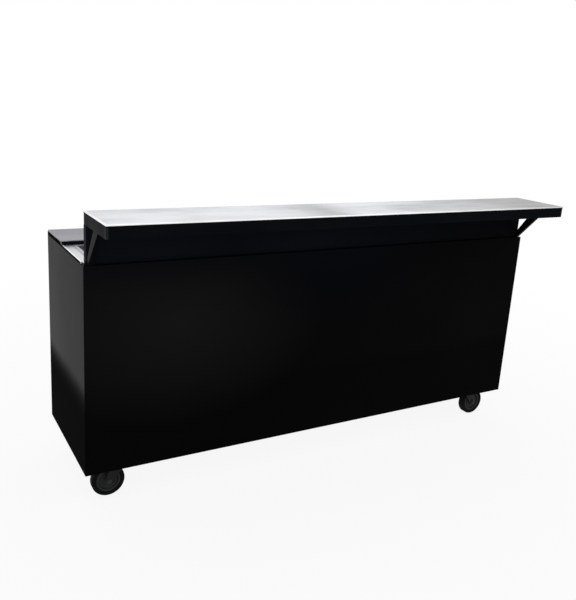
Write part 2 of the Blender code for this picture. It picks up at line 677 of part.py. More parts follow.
def well_floor():
    """A slotted false floor that keeps the pans out of the melt water."""
    margin = FALSE_FLOOR_MARGIN
    low = TUB_Z + SHEET + GAP
    outer, hollow = tray((margin - WELL_X, WELL_Y + margin, low),
                         (WELL_X - margin, WELL_END_Y - margin, low + FALSE_FLOOR_RISE), DECK_SHEET, 2, False)
    edge = WELL_X - margin - FLOOR_SLOT_MARGIN
    pitch = 2 * edge / FLOOR_SLOTS
    slots = []
    for number in range(FLOOR_SLOTS):
        middle = -edge + (number + 0.5) * pitch
        slots.append(block((middle - FLOOR_SLOT_WIDTH / 2, WELL_Y + margin + FLOOR_SLOT_MARGIN, low + CUT),
                           (middle + FLOOR_SLOT_WIDTH / 2, WELL_END_Y - margin - FLOOR_SLOT_MARGIN,
                            low + FALSE_FLOOR_RISE + CUT)))
    piece("well_floor", STAINLESS, outer, [hollow, ("cut", joined(slots))])


def evaporator_coil():
    """A flat serpentine of copper pipe under the tub."""
    corners = []
    for run in range(COIL_RUNS):
        y = COIL_Y + run * COIL_PITCH
        ends = (COIL_END_X, COIL_X) if run % 2 == 0 else (COIL_X, COIL_END_X)
        corners += [(x, y, COIL_Z) for x in ends]
    rod("evaporator_coil", COPPER, bent_path(corners, COIL_PITCH / 2 - COIL_RADIUS), COIL_RADIUS)


def drain_valve():
    """The drain: a flanged pipe through the tub's floor, plugged at its mouth, with a ball valve below."""
    top = TUB_Z + SHEET + GAP + DRAIN_WALL
    seat = TUB_Z + SHEET + GAP
    low = WELL_FOAM_Z - DRAIN_DROP
    body_top = WELL_FOAM_Z - (DRAIN_DROP - DRAIN_BODY_HEIGHT) / 2
    body = body_top - DRAIN_BODY_HEIGHT
    bore = DRAIN_PIPE - DRAIN_WALL
    profile = [(0.0, top), (DRAIN_FLANGE, top), (DRAIN_FLANGE, seat), (DRAIN_PIPE, seat),
               (DRAIN_PIPE, body_top), (DRAIN_BODY, body_top), (DRAIN_BODY, body), (DRAIN_PIPE, body),
               (DRAIN_PIPE, low), (bore, low), (bore, body), (0.0, body)]
    middle = (body + body_top) / 2
    stem = cylinder(LEVER_HUB, bore + DRAIN_WALL, DRAIN_BODY + STEM_REACH, (DRAIN_X, WELL_MID_Y, middle), 1)
    piece("drain_valve", BRASS, turned(profile, (DRAIN_X, WELL_MID_Y, 0.0), facets=SMALL_ROUND),
          [("add", stem)])


def drain_lever():
    """The quarter-turn lever on the valve's stem."""
    middle = WELL_FOAM_Z - DRAIN_DROP / 2
    near = WELL_MID_Y + DRAIN_BODY + STEM_REACH + GAP
    origin = (DRAIN_X, near, middle)
    arm = block((DRAIN_X, near + LEVER_THICK / 4, middle - LEVER_WIDTH / 2),
                (DRAIN_X + LEVER_LENGTH, near + LEVER_THICK * 3 / 4, middle + LEVER_WIDTH / 2))
    piece("drain_lever", SWITCH_RED, cylinder(LEVER_HUB, 0.0, LEVER_THICK, origin, 1), [("add", arm)], origin)


# Bar


def bar_riser():
    """The low wall on the front panel's return, folded from sheet and open underneath."""
    outer, hollow = tray((-BAR_X, RISER_Y, COUNTER_Z + GAP), (BAR_X, RISER_BACK_Y, BAR_Z - GAP),
                         SHEET, 2, False)
    piece("bar_riser", BLACK_ENAMEL, outer, [hollow])


def bar_outline():
    """The shelf in plan, with its two front corners rounded."""
    front, back, radius = RISER_BACK_Y - BAR_DEPTH, RISER_BACK_Y, BAR_CORNER
    left = arc((-BAR_X + radius, front + radius), radius, math.pi, 1.5 * math.pi, 4)
    right = arc((BAR_X - radius, front + radius), radius, 1.5 * math.pi, 2 * math.pi, 4)
    return left + right + [(BAR_X, back), (-BAR_X, back)]


def bar():
    """The shelf's laminated core, and the metal sheet bonded to its top."""
    seat = BAR_TOP_Z - BAR_SKIN
    piece("bar_shelf", BAR_LAMINATE, prism(bar_outline(), 2, BAR_Z, seat - GAP))
    piece("bar_skin", STAINLESS, prism(bar_outline(), 2, seat, BAR_TOP_Z))


def brace(name, side):
    """A bar at about 45 degrees from the counter's front edge and the riser to the shelf's underside."""
    face, foot, top = RISER_Y - GAP, COUNTER_Z + GAP, BAR_Z - GAP
    reach = face - (top - foot)
    outline = [(FRONT_Y + BRACE_INSET, foot), (face, foot), (face, foot + BRACE_SEAT),
               (reach + BRACE_HEAD, top), (reach, top)]
    outer = side * (BAR_X - BRACE_INSET)
    piece(name, BLACK_ENAMEL, prism(outline, 0, outer, outer - side * BRACE_THICK))


# Controls and service panel


def control_fascia():
    """A stainless box front under the ledge, pierced for the switch and the thermostat's stem."""
    left = HALF - SIDE_RETURN - RUNNING
    low, high = (-left, FRAME_BACK_Y + GAP, FASCIA_Z), (left, PANEL_FACE_Y, COUNTER_Z - GAP)
    outer, hollow = tray(low, high, SHEET, 1, False)
    tall = SWITCH_HEIGHT / 2 + SWITCH_TRAVEL_GAP
    wide = SWITCH_WIDTH / 2 + GAP
    holes = [block((SWITCH_X - wide, PANEL_FACE_Y - CUT, CONTROL_Z - tall),
                   (SWITCH_X + wide, PANEL_FACE_Y + CUT, CONTROL_Z + tall)),
             cylinder(KNOB_STEM + GAP, -CUT, CUT, (KNOB_X, PANEL_FACE_Y, CONTROL_Z), 1)]
    piece("control_fascia", STAINLESS, outer, [hollow, ("cut", joined(holes))])


def thermostat_knob():
    """A round knob with a raised pointer, its stem through the fascia."""
    origin = (KNOB_X, PANEL_FACE_Y + GAP, CONTROL_Z)
    rim = KNOB_RADIUS - KNOB_POINTER
    profile = [(0.0, -KNOB_DEPTH), (KNOB_STEM, -KNOB_DEPTH), (KNOB_STEM, 0.0), (KNOB_RADIUS, 0.0),
               (rim, KNOB_DEPTH - KNOB_POINTER), (0.0, KNOB_DEPTH - KNOB_POINTER)]
    half = KNOB_POINTER / 2
    pointer = block((KNOB_X - half, PANEL_FACE_Y + KNOB_DEPTH / 2, CONTROL_Z),
                    (KNOB_X + half, PANEL_FACE_Y + KNOB_DEPTH, CONTROL_Z + rim - half))
    piece("thermostat_knob", PLASTIC, turned(profile, origin, 1), [("add", pointer)], origin)


def power_switch():
    """A rocker in the fascia, with a shallow crease across its middle."""
    origin = (SWITCH_X, PANEL_FACE_Y, CONTROL_Z)
    half = SWITCH_HEIGHT / 2
    out = PANEL_FACE_Y + SWITCH_DEPTH / 3
    back = out - SWITCH_DEPTH
    outline = [(back, CONTROL_Z - half), (out, CONTROL_Z - half), (out - SWITCH_DEPTH / 6, CONTROL_Z),
               (out, CONTROL_Z + half), (back, CONTROL_Z + half)]
    rocker = prism(outline, 0, SWITCH_X - SWITCH_WIDTH / 2, SWITCH_X + SWITCH_WIDTH / 2)
    piece("power_switch", SWITCH_RED, rocker, (), origin)


def louvre_panel():
    """The service panel over the machinery, with a ladder of air slots and a hole for the inlet."""
    left, right = DOOR_END_X + DOOR_CLEARANCE, HALF - SIDE_RETURN - DOOR_CLEARANCE
    outer, hollow = tray((left, FRAME_BACK_Y + GAP, DOOR_Z), (right, PANEL_FACE_Y, DOOR_TOP_Z),
                         SHEET, 1, False)
    foot = INLET_Z + INLET_FLANGE + LOUVRE_FOOT
    room = DOOR_TOP_Z - LOUVRE_TOP_MARGIN - foot - LOUVRE_SLOT
    cuts = []
    for number in range(1 + int(room / LOUVRE_PITCH)):
        low = foot + number * LOUVRE_PITCH
        cuts.append(block((left + LOUVRE_MARGIN, PANEL_FACE_Y - CUT, low),
                          (right - LOUVRE_MARGIN, PANEL_FACE_Y + CUT, low + LOUVRE_SLOT)))
    cuts.append(cylinder(INLET_RADIUS + GAP, -CUT, CUT, (INLET_X, PANEL_FACE_Y, INLET_Z), 1, ROUND))
    piece("louvre_panel", STAINLESS, outer, [hollow, ("cut", joined(cuts))])


def power_inlet():
    """A bored gland where the supply enters."""
    profile = [(INLET_BORE, -INLET_REACH), (INLET_RADIUS, -INLET_REACH), (INLET_RADIUS, GAP),
               (INLET_FLANGE, GAP), (INLET_FLANGE, INLET_REACH / 2), (INLET_RADIUS, INLET_REACH),
               (INLET_BORE, INLET_REACH)]
    centre = (INLET_X, PANEL_FACE_Y, INLET_Z)
    piece("power_inlet", PLASTIC, turned(profile, centre, 1, ROUND, True))


# Refrigeration unit


def unit_base():
    """The sheet that carries the compressor and the condenser, with its two ends turned up."""
    left, right = FOAM_END_X + UNIT_MARGIN, FLOOR_X - UNIT_MARGIN
    front, back = FOAM_Y + GAP, FRAME_FRONT_Y - UNIT_MARGIN / 2
    outline = [(left, FLOOR_Z), (right, FLOOR_Z), (right, FLOOR_Z + UNIT_LIP),
               (right - UNIT_SHEET, FLOOR_Z + UNIT_LIP), (right - UNIT_SHEET, FLOOR_Z + UNIT_SHEET),
               (left + UNIT_SHEET, FLOOR_Z + UNIT_SHEET), (left + UNIT_SHEET, FLOOR_Z + UNIT_LIP),
               (left, FLOOR_Z + UNIT_LIP)]
    piece("unit_base", GALVANISED, prism(outline, 1, front, back))


def compressor():
    """A sealed can with a domed top on a round foot."""
    radius, height = COMPRESSOR_RADIUS, COMPRESSOR_HEIGHT
    foot = COMPRESSOR_FOOT_THICK
    shoulder = height - radius / 2
    dome = [(radius * math.cos(a), shoulder + radius / 2 * math.sin(a))
            for a in (math.pi / 2 * i / 5 for i in range(5))]
    profile = [(0.0, 0.0), (COMPRESSOR_FOOT, 0.0), (COMPRESSOR_FOOT, foot), (radius, 2 * foot)]
    piece("compressor", COMPRESSOR_PAINT,
          turned(profile + dome + [(0.0, height)], (COMPRESSOR_X, COMPRESSOR_Y, UNIT_Z)))


def condenser():
    """A finned heat exchanger: a frame with thin upright fins."""
    left, right = CONDENSER_X, CONDENSER_X + CONDENSER_WIDTH
    low, high = UNIT_Z, UNIT_Z + CONDENSER_HEIGHT
    pitch = (CONDENSER_WIDTH - 2 * CONDENSER_FRAME + FIN_THICK) / CONDENSER_FINS
    slots = []
    for number in range(CONDENSER_FINS):
        start = left + CONDENSER_FRAME + number * pitch
        slots.append(block((start, CONDENSER_Y - CUT, low + CONDENSER_FRAME),
                           (start + pitch - FIN_THICK, CONDENSER_Y + CONDENSER_DEPTH + CUT,
                            high - CONDENSER_FRAME)))
    core = block((left, CONDENSER_Y, low), (right, CONDENSER_Y + CONDENSER_DEPTH, high))
    piece("condenser", FIN_ALUMINIUM, core, [("cut", joined(slots))])


def fan():
    """The shroud in front of the condenser, with a strap that holds the motor; the motor turns the blade."""
    centre = (FAN_X, SHROUD_Y, FAN_Z)
    left, right = CONDENSER_X, CONDENSER_X + CONDENSER_WIDTH
    low, high = UNIT_Z, UNIT_Z + CONDENSER_HEIGHT
    slab = block((left, SHROUD_Y, low), (right, SHROUD_Y + SHROUD_DEPTH, high))
    mouth = cylinder(FAN_RADIUS + FAN_TIP_GAP, -CUT, SHROUD_DEPTH + CUT, centre, 1, ROUND)
    reach = FAN_RADIUS + 2 * FAN_TIP_GAP
    strap = block((FAN_X - reach, SHROUD_Y + SHROUD_WALL / 2, FAN_Z - STRAP_HEIGHT / 2),
                  (FAN_X + reach, SHROUD_Y + SHROUD_WALL * 3 / 2, FAN_Z + STRAP_HEIGHT / 2))
    bore = cylinder(MOTOR_SHAFT + GAP, -CUT, SHROUD_WALL + CUT, centre, 1)
    shroud = piece("fan_shroud", GALVANISED, slab, [("cut", mouth), ("add", strap), ("cut", bore)])

    near = SHROUD_WALL / 2 - GAP
    tip = SHROUD_DEPTH - 2 * RUNNING
    profile = [(0.0, near - MOTOR_LENGTH), (MOTOR_RADIUS, near - MOTOR_LENGTH),
               (MOTOR_RADIUS, near - RUNNING), (STRAP_HEIGHT / 2, near), (MOTOR_SHAFT, near),
               (MOTOR_SHAFT, tip), (0.0, tip)]
    motor = piece("fan_motor", COMPRESSOR_PAINT, turned(profile, centre, 1, ROUND), (), centre)
    attach(motor, shroud)

    front = SHROUD_WALL * 3 / 2 + RUNNING
    middle = Vector((FAN_X, SHROUD_Y + (front + tip) / 2, FAN_Z))
    half = (tip - front) / 2
    hub = turned([(MOTOR_SHAFT + GAP, -half), (FAN_HUB, -half), (FAN_HUB, half), (MOTOR_SHAFT + GAP, half)],
                 middle, 1, ROUND, True)
    blades = []
    for number in range(FAN_BLADES):
        blade = block((MOTOR_SHAFT * 2, -FAN_BLADE_THICK / 2, -FAN_BLADE_CHORD / 2),
                      (FAN_RADIUS, FAN_BLADE_THICK / 2, FAN_BLADE_CHORD / 2))
        turn = Matrix.Rotation(math.tau * number / FAN_BLADES, 4, "Y")
        blade.transform(Matrix.Translation(middle) @ turn @ Matrix.Rotation(FAN_PITCH, 4, "X"))
        blades.append(("add", blade))
    attach(piece("fan_blade", PLASTIC, hub, blades, middle), motor)


def suction_line():
    """The copper pipe from the coil's end down to the compressor."""
    start = COMPRESSOR_X + COMPRESSOR_RADIUS + GAP
    low = UNIT_Z + LINE_RISE
    corners = [(start, COMPRESSOR_Y, low), (LINE_X, COMPRESSOR_Y, low),
               (LINE_X, COMPRESSOR_Y, WELL_FOAM_Z - LINE_RISE), (LINE_X, COIL_Y, WELL_FOAM_Z - LINE_BEND),
               (LINE_X, COIL_Y, COIL_Z + COIL_RADIUS - GAP)]
    rod("suction_line", COPPER, bent_path(corners, LINE_BEND / 2), LINE_RADIUS)


# Casters


def round_plate(points, y, thick):
    """A flat convex plate across Y round some points in X and Z."""
    return hull([(x, side, z) for x, z in points for side in (y, y + thick)])


def caster(label, side, y, braked):
    """A swivel caster trailing outwards: plate and head, fork with kingpin and axle, wheel core and tyre."""
    x = side * (HALF - CASTER_INSET)
    axle = Vector((x + side * CASTER_TRAIL, y, WHEEL_RADIUS))
    swivel = (x, y, CROWN_TOP_Z)
    under = CASTER_HEIGHT - PLATE_THICK
    top = block((x - PLATE_LENGTH / 2, y - PLATE_WIDTH / 2, under),
                (x + PLATE_LENGTH / 2, y + PLATE_WIDTH / 2, CASTER_HEIGHT))
    head = cylinder(HEAD_RADIUS, CROWN_TOP_Z + GAP, under + PLATE_THICK / 2, (x, y, 0.0), 2, ROUND)
    socket = cylinder(KINGPIN_RADIUS + GAP, CROWN_TOP_Z - CUT, CASTER_HEIGHT + CUT, (x, y, 0.0))
    plate = piece(f"caster_plate_{label}", ZINC, top, [("add", head), ("cut", socket)], swivel)

    low, mid = CROWN_TOP_Z - CROWN_THICK, CROWN_TOP_Z - CROWN_THICK / 2
    wide = LEG_Y + LEG_THICK * 3 / 4
    crown = block((x - CROWN_HALF, y - wide, low), (x + CROWN_HALF, y + wide, CROWN_TOP_Z))
    kingpin = cylinder(KINGPIN_RADIUS, mid, CASTER_HEIGHT - GAP, (x, y, 0.0))
    steps = [("add", kingpin)]
    leg = [(x - LEG_SPREAD, mid), (x + LEG_SPREAD, mid)] + arc((axle.x, axle.z), LEG_END, 0, math.tau, ROUND)
    for away in (-1, 1):
        steps.append(("add", round_plate(leg, y + away * LEG_Y, away * LEG_THICK)))
    out = LEG_Y + LEG_THICK / 2
    steps.append(("add", cylinder(AXLE_RADIUS, -out, out, axle, 1)))
    for away in (-1, 1):
        ends = sorted((away * out, away * (LEG_Y + LEG_THICK + AXLE_NUT_THICK)))
        steps.append(("add", cylinder(AXLE_NUT, *ends, axle, 1, 6)))
    pin = Vector((axle.x + side * PEDAL_OUT, y, axle.z + PEDAL_UP))
    if braked:
        ear = [(x + side * LEG_SPREAD / 2, mid), (x + side * LEG_SPREAD, mid), (x + side * LEG_SPREAD, low)]
        ear += arc((pin.x, pin.z), PEDAL_HUB, 0, math.tau, SMALL_ROUND)
        for away in (-1, 1):
            steps.append(("add", round_plate(ear, y + away * (LEG_Y + GAP), away * (LEG_THICK - 2 * GAP))))
        steps.append(("add", cylinder(PEDAL_PIN, -out, out, pin, 1)))
    fork = piece(f"caster_fork_{label}", ZINC, crown, steps, swivel)
    attach(fork, plate)

    hub, rim, web = HUB_WIDTH / 2, RIM_WIDTH / 2, WEB_THICK / 2
    bore, inner = AXLE_RADIUS + GAP, RIM_RADIUS - RIM_THICK
    side_profile = [(RIM_RADIUS, rim), (inner, rim), (inner, web), (HUB_RADIUS, web),
                    (HUB_RADIUS, hub), (bore, hub)]
    profile = [(radius, -height) for radius, height in reversed(side_profile)] + side_profile
    core = piece(f"caster_wheel_{label}", WHEEL_CORE, turned(profile, axle, 1, ROUND, True), (), axle)
    attach(core, fork)

    seat, tread, half = RIM_RADIUS + GAP, WHEEL_RADIUS - TREAD_SHOULDER, WHEEL_WIDTH / 2
    tyre_side = [(WHEEL_RADIUS, half - TREAD_SHOULDER),
                 (WHEEL_RADIUS - TREAD_SHOULDER / 4, half - TREAD_SHOULDER / 3), (tread, half), (seat, rim)]
    profile = [(radius, -height) for radius, height in reversed(tyre_side)] + tyre_side
    attach(piece(f"caster_tyre_{label}", TYRE, turned(profile, axle, 1, ROUND, True), (), axle), core)

    if braked:
        pedal = arc((pin.x, pin.z), PEDAL_HUB, 0, math.tau, ROUND)
        pedal.append((pin.x + side * PEDAL_LOBE * math.cos(PEDAL_LOBE_ANGLE),
                      pin.z + PEDAL_LOBE * math.sin(PEDAL_LOBE_ANGLE)))
        pad = [(pin.x + side * PEDAL_REACH, pin.z + PEDAL_LIFT + rise) for rise in (-PEDAL_PAD, PEDAL_PAD)]
        pedal += pad
        paddle = round_plate(pedal, y - LEG_Y + 2 * GAP, 2 * LEG_Y - 4 * GAP)
        hole = cylinder(PEDAL_PIN + GAP, -WHEEL_WIDTH, WHEEL_WIDTH, pin, 1)
        attach(piece(f"brake_pedal_{label}", PLASTIC, paddle, [("cut", hole)], pin), fork)


front_panel()
end_panel("left_end_panel", -1)
end_panel("right_end_panel", 1)
base_pan()
caster_rail("caster_rail_left", -1)
caster_rail("caster_rail_right", 1)
cabinet_foam()
storage_liner()
storage_shelf()
rear_frame()
door("left", -1)
door("right", 1)
deck()
rear_ledge()
well_liner()
well_insulation()
well_floor()
evaporator_coil()
drain_valve()
drain_lever()
bar_riser()
bar()
brace("brace_left", -1)
brace("brace_right", 1)
control_fascia()
thermostat_knob()
power_switch()
louvre_panel()
power_inlet()
unit_base()
compressor()
condenser()
fan()
suction_line()
for end, across in (("left", -1), ("right", 1)):
    caster(f"front_{end}", across, FRONT_Y + CASTER_SETBACK, False)
    caster(f"rear_{end}", across, REAR_Y - CASTER_SETBACK, True)
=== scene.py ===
import math

import bpy
from mathutils import Matrix, Vector


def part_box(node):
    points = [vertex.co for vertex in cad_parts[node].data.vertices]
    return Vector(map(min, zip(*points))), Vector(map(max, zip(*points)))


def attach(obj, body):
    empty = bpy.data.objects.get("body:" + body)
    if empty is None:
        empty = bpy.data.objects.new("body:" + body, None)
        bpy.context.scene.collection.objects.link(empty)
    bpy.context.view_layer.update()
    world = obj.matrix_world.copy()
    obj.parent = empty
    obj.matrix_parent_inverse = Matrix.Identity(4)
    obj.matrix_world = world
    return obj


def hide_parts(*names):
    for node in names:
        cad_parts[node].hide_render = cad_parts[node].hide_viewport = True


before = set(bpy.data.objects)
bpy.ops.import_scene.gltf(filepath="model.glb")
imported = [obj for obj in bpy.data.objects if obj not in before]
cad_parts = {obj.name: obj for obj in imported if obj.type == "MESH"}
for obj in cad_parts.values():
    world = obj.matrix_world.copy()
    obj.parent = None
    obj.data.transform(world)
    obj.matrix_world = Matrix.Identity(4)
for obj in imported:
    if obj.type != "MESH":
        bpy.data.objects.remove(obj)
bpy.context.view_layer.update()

# The view: from the customers' side, left of the middle and a little above the bar, as in the photograph.
# The long lens and the small tilt and shift are those that line the cabinet's edges up with it.
CAMERA_PLACE = (-1.5922, -2.430, 1.496)
CAMERA_HEADING = math.radians(30.0)
CAMERA_DIP = math.radians(14.44)
CAMERA_TILT = math.radians(3.39)
camera_data = bpy.data.cameras.new("camera")
camera_data.sensor_width = 36.0
camera_data.lens = 42.32
camera_data.shift_x = 0.021
camera_data.shift_y = -0.043
camera = bpy.data.objects.new("camera", camera_data)
bpy.context.scene.collection.objects.link(camera)
camera.location = CAMERA_PLACE
camera.rotation_euler = (Matrix.Rotation(-CAMERA_HEADING, 3, "Z")
                         @ Matrix.Rotation(math.pi / 2 - CAMERA_DIP, 3, "X")
                         @ Matrix.Rotation(CAMERA_TILT, 3, "Z")).to_euler()
bpy.context.scene.camera = camera
bpy.context.scene.view_settings.view_transform = "Standard"


# The studio: a white floor that still takes the counter's shadow, white all round, and soft lamps.
# The three lamps, in front, at the right and overhead behind, are large, so that metal mirrors them softly.
def add_nodes(tree, *kinds):
    return [tree.nodes.new("ShaderNode" + kind) for kind in kinds]


def set_values(node, *settings):
    for socket, value in settings:
        node.inputs[socket].default_value = value


def deselect():
    bpy.ops.object.select_all(action="DESELECT")


def background_rays(tree):
    """1 for a ray that shows the background: straight, mirrored or through glass."""
    path, first, second = add_nodes(tree, "LightPath", "Math", "Math")
    first.operation = second.operation = "MAXIMUM"
    tree.links.new(path.outputs["Is Camera Ray"], first.inputs[0])
    tree.links.new(path.outputs["Is Glossy Ray"], first.inputs[1])
    tree.links.new(first.outputs[0], second.inputs[0])
    tree.links.new(path.outputs["Is Transmission Ray"], second.inputs[1])
    return second.outputs[0]


ROOM_LIGHT = 0.76
world = bpy.data.worlds.new("studio")
world.use_nodes = True
bpy.context.scene.world = world
room = world.node_tree
background = room.nodes["Background"]
room_strength = room.nodes.new("ShaderNodeMapRange")
set_values(background, ("Color", (1.0, 1.0, 1.0, 1.0)))
set_values(room_strength, ("To Min", ROOM_LIGHT), ("To Max", 1.0))
room.links.new(background_rays(room), room_strength.inputs["Value"])
room.links.new(room_strength.outputs["Result"], background.inputs["Strength"])

FLOOR_SIZE, FLOOR_COLOUR = 40.0, (0.88, 0.88, 0.88, 1.0)
FLOOR_NEAR, FLOOR_FAR = 1.6, 3.6            # the shadow shows within these reaches of the middle
FLOOR_WHITENESS = 0.88                      # and is softened by so much
deselect()
bpy.ops.mesh.primitive_plane_add(size=FLOOR_SIZE, location=(0.0, 0.0, 0.0))
floor = bpy.context.object
floor.name = "floor"
floor_paint = bpy.data.materials.new("floor_white")
floor_paint.use_nodes = True
tree = floor_paint.node_tree
floor_shader = tree.nodes["Principled BSDF"]
white, blend, share = add_nodes(tree, "Emission", "MixShader", "Math")
where, reach, fade = add_nodes(tree, "TexCoord", "VectorMath", "MapRange")
reach.operation = "LENGTH"
share.operation = "MULTIPLY"
set_values(floor_shader, ("Base Color", FLOOR_COLOUR), ("Roughness", 0.9), ("Specular IOR Level", 0.0))
set_values(fade, ("From Min", FLOOR_NEAR), ("From Max", FLOOR_FAR), ("To Min", FLOOR_WHITENESS))
tree.links.new(where.outputs["Object"], reach.inputs[0])
tree.links.new(reach.outputs["Value"], fade.inputs["Value"])
tree.links.new(background_rays(tree), share.inputs[0])
tree.links.new(fade.outputs["Result"], share.inputs[1])
tree.links.new(share.outputs[0], blend.inputs[0])
tree.links.new(floor_shader.outputs[0], blend.inputs[1])
tree.links.new(white.outputs[0], blend.inputs[2])
tree.links.new(blend.outputs[0], tree.nodes["Material Output"].inputs["Surface"])
floor.data.materials.append(floor_paint)

LAMPS = (("lamp_front", (-2.6, -3.6, 3.6), (0.0, 0.0, 0.6), 8.0, 5.4, 34.0),
         ("lamp_right", (3.6, -2.2, 3.2), (0.2, 0.0, 0.6), 4.6, 3.8, 20.0),
         ("lamp_back", (0.4, 2.4, 4.6), (0.0, 0.1, 0.7), 5.6, 4.4, 27.0))
for name, place, aim, wide, tall, power in LAMPS:
    lamp_data = bpy.data.lights.new(name, "AREA")
    lamp_data.shape = "RECTANGLE"
    lamp_data.size, lamp_data.size_y = wide, tall
    lamp_data.energy = power
    lamp = bpy.data.objects.new(name, lamp_data)
    bpy.context.scene.collection.objects.link(lamp)
    lamp.location = place
    lamp.rotation_euler = (Vector(aim) - Vector(place)).to_track_quat("-Z", "Y").to_euler()


# The base pan and its two caster rails: galvanised sheet, folded, with the zinc's large faint crystals.
# The pan is lipped against the panels all round; the rails are channels riveted under it.
MERGE, TOUCH = 1e-5, 1e-4                   # points nearer than these become one, or lie on a face
SHEET_EDGE, RAIL_EDGE = 0.0008, 0.0012      # how far folded edges are rounded
EVEN = (1.0, 1.0, 1.0)                      # the stretch of a grain that runs no way


def choose(piece):
    """Makes a piece the only one selected, and the one in hand."""
    deselect()
    bpy.context.view_layer.objects.active = piece
    piece.select_set(True)


def open_all(piece):
    """Opens a piece for editing with all of it selected."""
    choose(piece)
    bpy.ops.object.mode_set(mode="EDIT")
    bpy.ops.mesh.select_all(action="SELECT")


def done():
    """Closes a piece again, with vertices to be chosen next time."""
    bpy.ops.object.mode_set(mode="OBJECT")
    bpy.context.tool_settings.mesh_select_mode = (True, False, False)


def modify(piece, kind, **settings):
    """Adds a modifier to a piece and applies it."""
    choose(piece)
    modifier = piece.modifiers.new(kind.lower(), kind)
    for setting, value in settings.items():
        setattr(modifier, setting, value)
    bpy.ops.object.modifier_apply(modifier=modifier.name)


def round_edges(piece, width, segments=2, angle=40.0):
    """Rounds a piece's sharp edges and shades it smooth, with its flat faces left flat."""
    modify(piece, "BEVEL", width=width, segments=segments, limit_method="ANGLE",
           angle_limit=math.radians(angle), miter_outer="MITER_ARC")
    open_all(piece)
    bpy.ops.mesh.dissolve_degenerate(threshold=MERGE)
    done()
    bpy.ops.object.shade_smooth_by_angle(angle=math.radians(50.0))
    modify(piece, "WEIGHTED_NORMAL", mode="FACE_AREA", weight=100, keep_sharp=True)


def copy_of(master, name, place=Matrix()):
    """A copy with its own mesh, moved by a matrix."""
    piece = bpy.data.objects.new(name, master.data.copy())
    piece.data.name = name
    piece.data.transform(place)
    bpy.context.scene.collection.objects.link(piece)
    return piece


def softened(node, name, width, segments=2):
    """A CAD piece's shape with its facets merged and its edges rounded, as folded or sawn metal's are."""
    piece = copy_of(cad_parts[node], name)
    open_all(piece)
    bpy.ops.mesh.remove_doubles(threshold=MERGE)
    bpy.ops.mesh.tris_convert_to_quads(face_threshold=math.radians(1.0), shape_threshold=math.radians(180.0))
    done()
    round_edges(piece, width, segments)
    return piece


def fit(piece, slot, material, *nodes, body="cabinet"):
    """Gives a piece its finish and its body, and hides the CAD pieces it stands for."""
    piece.data.materials.clear()
    piece.data.materials.append(material)
    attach(piece, body)
    if nodes:
        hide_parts(*nodes)


def cover(node, name, slot, material, width, segments=2, body="cabinet"):
    """Fits a softened copy of a CAD piece in its place."""
    fit(softened(node, name, width, segments), slot, material, node, body=body)


def grain(material, scale, detail=4.0, stretch=EVEN, kind="TexNoise"):
    """A pattern read on the piece's own coordinates."""
    tree = material.node_tree
    where, mapping, pattern = add_nodes(tree, "TexCoord", "Mapping", kind)
    set_values(mapping, ("Scale", stretch))
    set_values(pattern, ("Scale", scale), ("Detail", detail))
    tree.links.new(where.outputs["Object"], mapping.inputs["Vector"])
    tree.links.new(mapping.outputs["Vector"], pattern.inputs["Vector"])
    return pattern.outputs["Fac"] if "Fac" in pattern.outputs else pattern.outputs["Distance"]


def tint(material, pattern, *stops):
    """Colours that follow a pattern; each stop is a place from 0 to 1 and a colour."""
    tree = material.node_tree
    ramp = tree.nodes.new("ShaderNodeValToRGB")
    while len(ramp.color_ramp.elements) < len(stops):
        ramp.color_ramp.elements.new(1.0)
    for element, (place, colour) in zip(ramp.color_ramp.elements, stops):
        element.position = place
        element.color = (*colour, 1.0)
    tree.links.new(pattern, ramp.inputs["Fac"])
    tree.links.new(ramp.outputs["Color"], tree.nodes["Principled BSDF"].inputs["Base Color"])


def vary(material, pattern, low, high):
    """A roughness that follows a pattern."""
    tree = material.node_tree
    span = tree.nodes.new("ShaderNodeMapRange")
    set_values(span, ("From Min", 0.3), ("From Max", 0.7), ("To Min", low), ("To Max", high))
    tree.links.new(pattern, span.inputs["Value"])
    tree.links.new(span.outputs["Result"], tree.nodes["Principled BSDF"].inputs["Roughness"])


def emboss(material, pattern, strength, depth):
    """A fine relief that follows a pattern; a second one is laid over the first."""
    tree = material.node_tree
    relief = tree.nodes.new("ShaderNodeBump")
    set_values(relief, ("Strength", strength), ("Distance", depth))
    normal = tree.nodes["Principled BSDF"].inputs["Normal"]
    if normal.is_linked:
        tree.links.new(normal.links[0].from_socket, relief.inputs["Normal"])
    tree.links.new(pattern, relief.inputs["Height"])
    tree.links.new(relief.outputs["Normal"], normal)


def finish(name, mottle, stops, gloss=None, relief=None, metallic=0.0, specular=0.5, roughness=0.5):
    """A surface finish. Its colours follow the mottle, a grain given by its scale, detail and stretch.
    Gloss is two roughnesses and their grain, and relief a strength, a depth and a grain."""
    material = bpy.data.materials.new(name)
    material.use_nodes = True
    set_values(material.node_tree.nodes["Principled BSDF"], ("Metallic", metallic),
               ("Specular IOR Level", specular), ("Roughness", roughness))
    tint(material, grain(material, *mottle), *stops)
    if gloss:
        low, high, *pattern = gloss
        vary(material, grain(material, *pattern), low, high)
    if relief:
        strength, depth, *pattern = relief
        emboss(material, grain(material, *pattern), strength, depth)
    return material


CRYSTALS = (45.0, 4.0, EVEN, "TexVoronoi")
galvanised = finish("galvanised_sheet", CRYSTALS, ((0.1, (0.40, 0.41, 0.42)), (0.6, (0.52, 0.53, 0.54))),
                    (0.35, 0.55, 30.0), (0.05, 0.0005, *CRYSTALS), metallic=1.0)

cover("base_pan", "base_pan_folded", "galvanised", galvanised, SHEET_EDGE)
ENDS = ("left", "right")
for end in ENDS:
    node = f"caster_rail_{end}"
    cover(node, f"{node}_folded", "galvanised", galvanised, RAIL_EDGE)
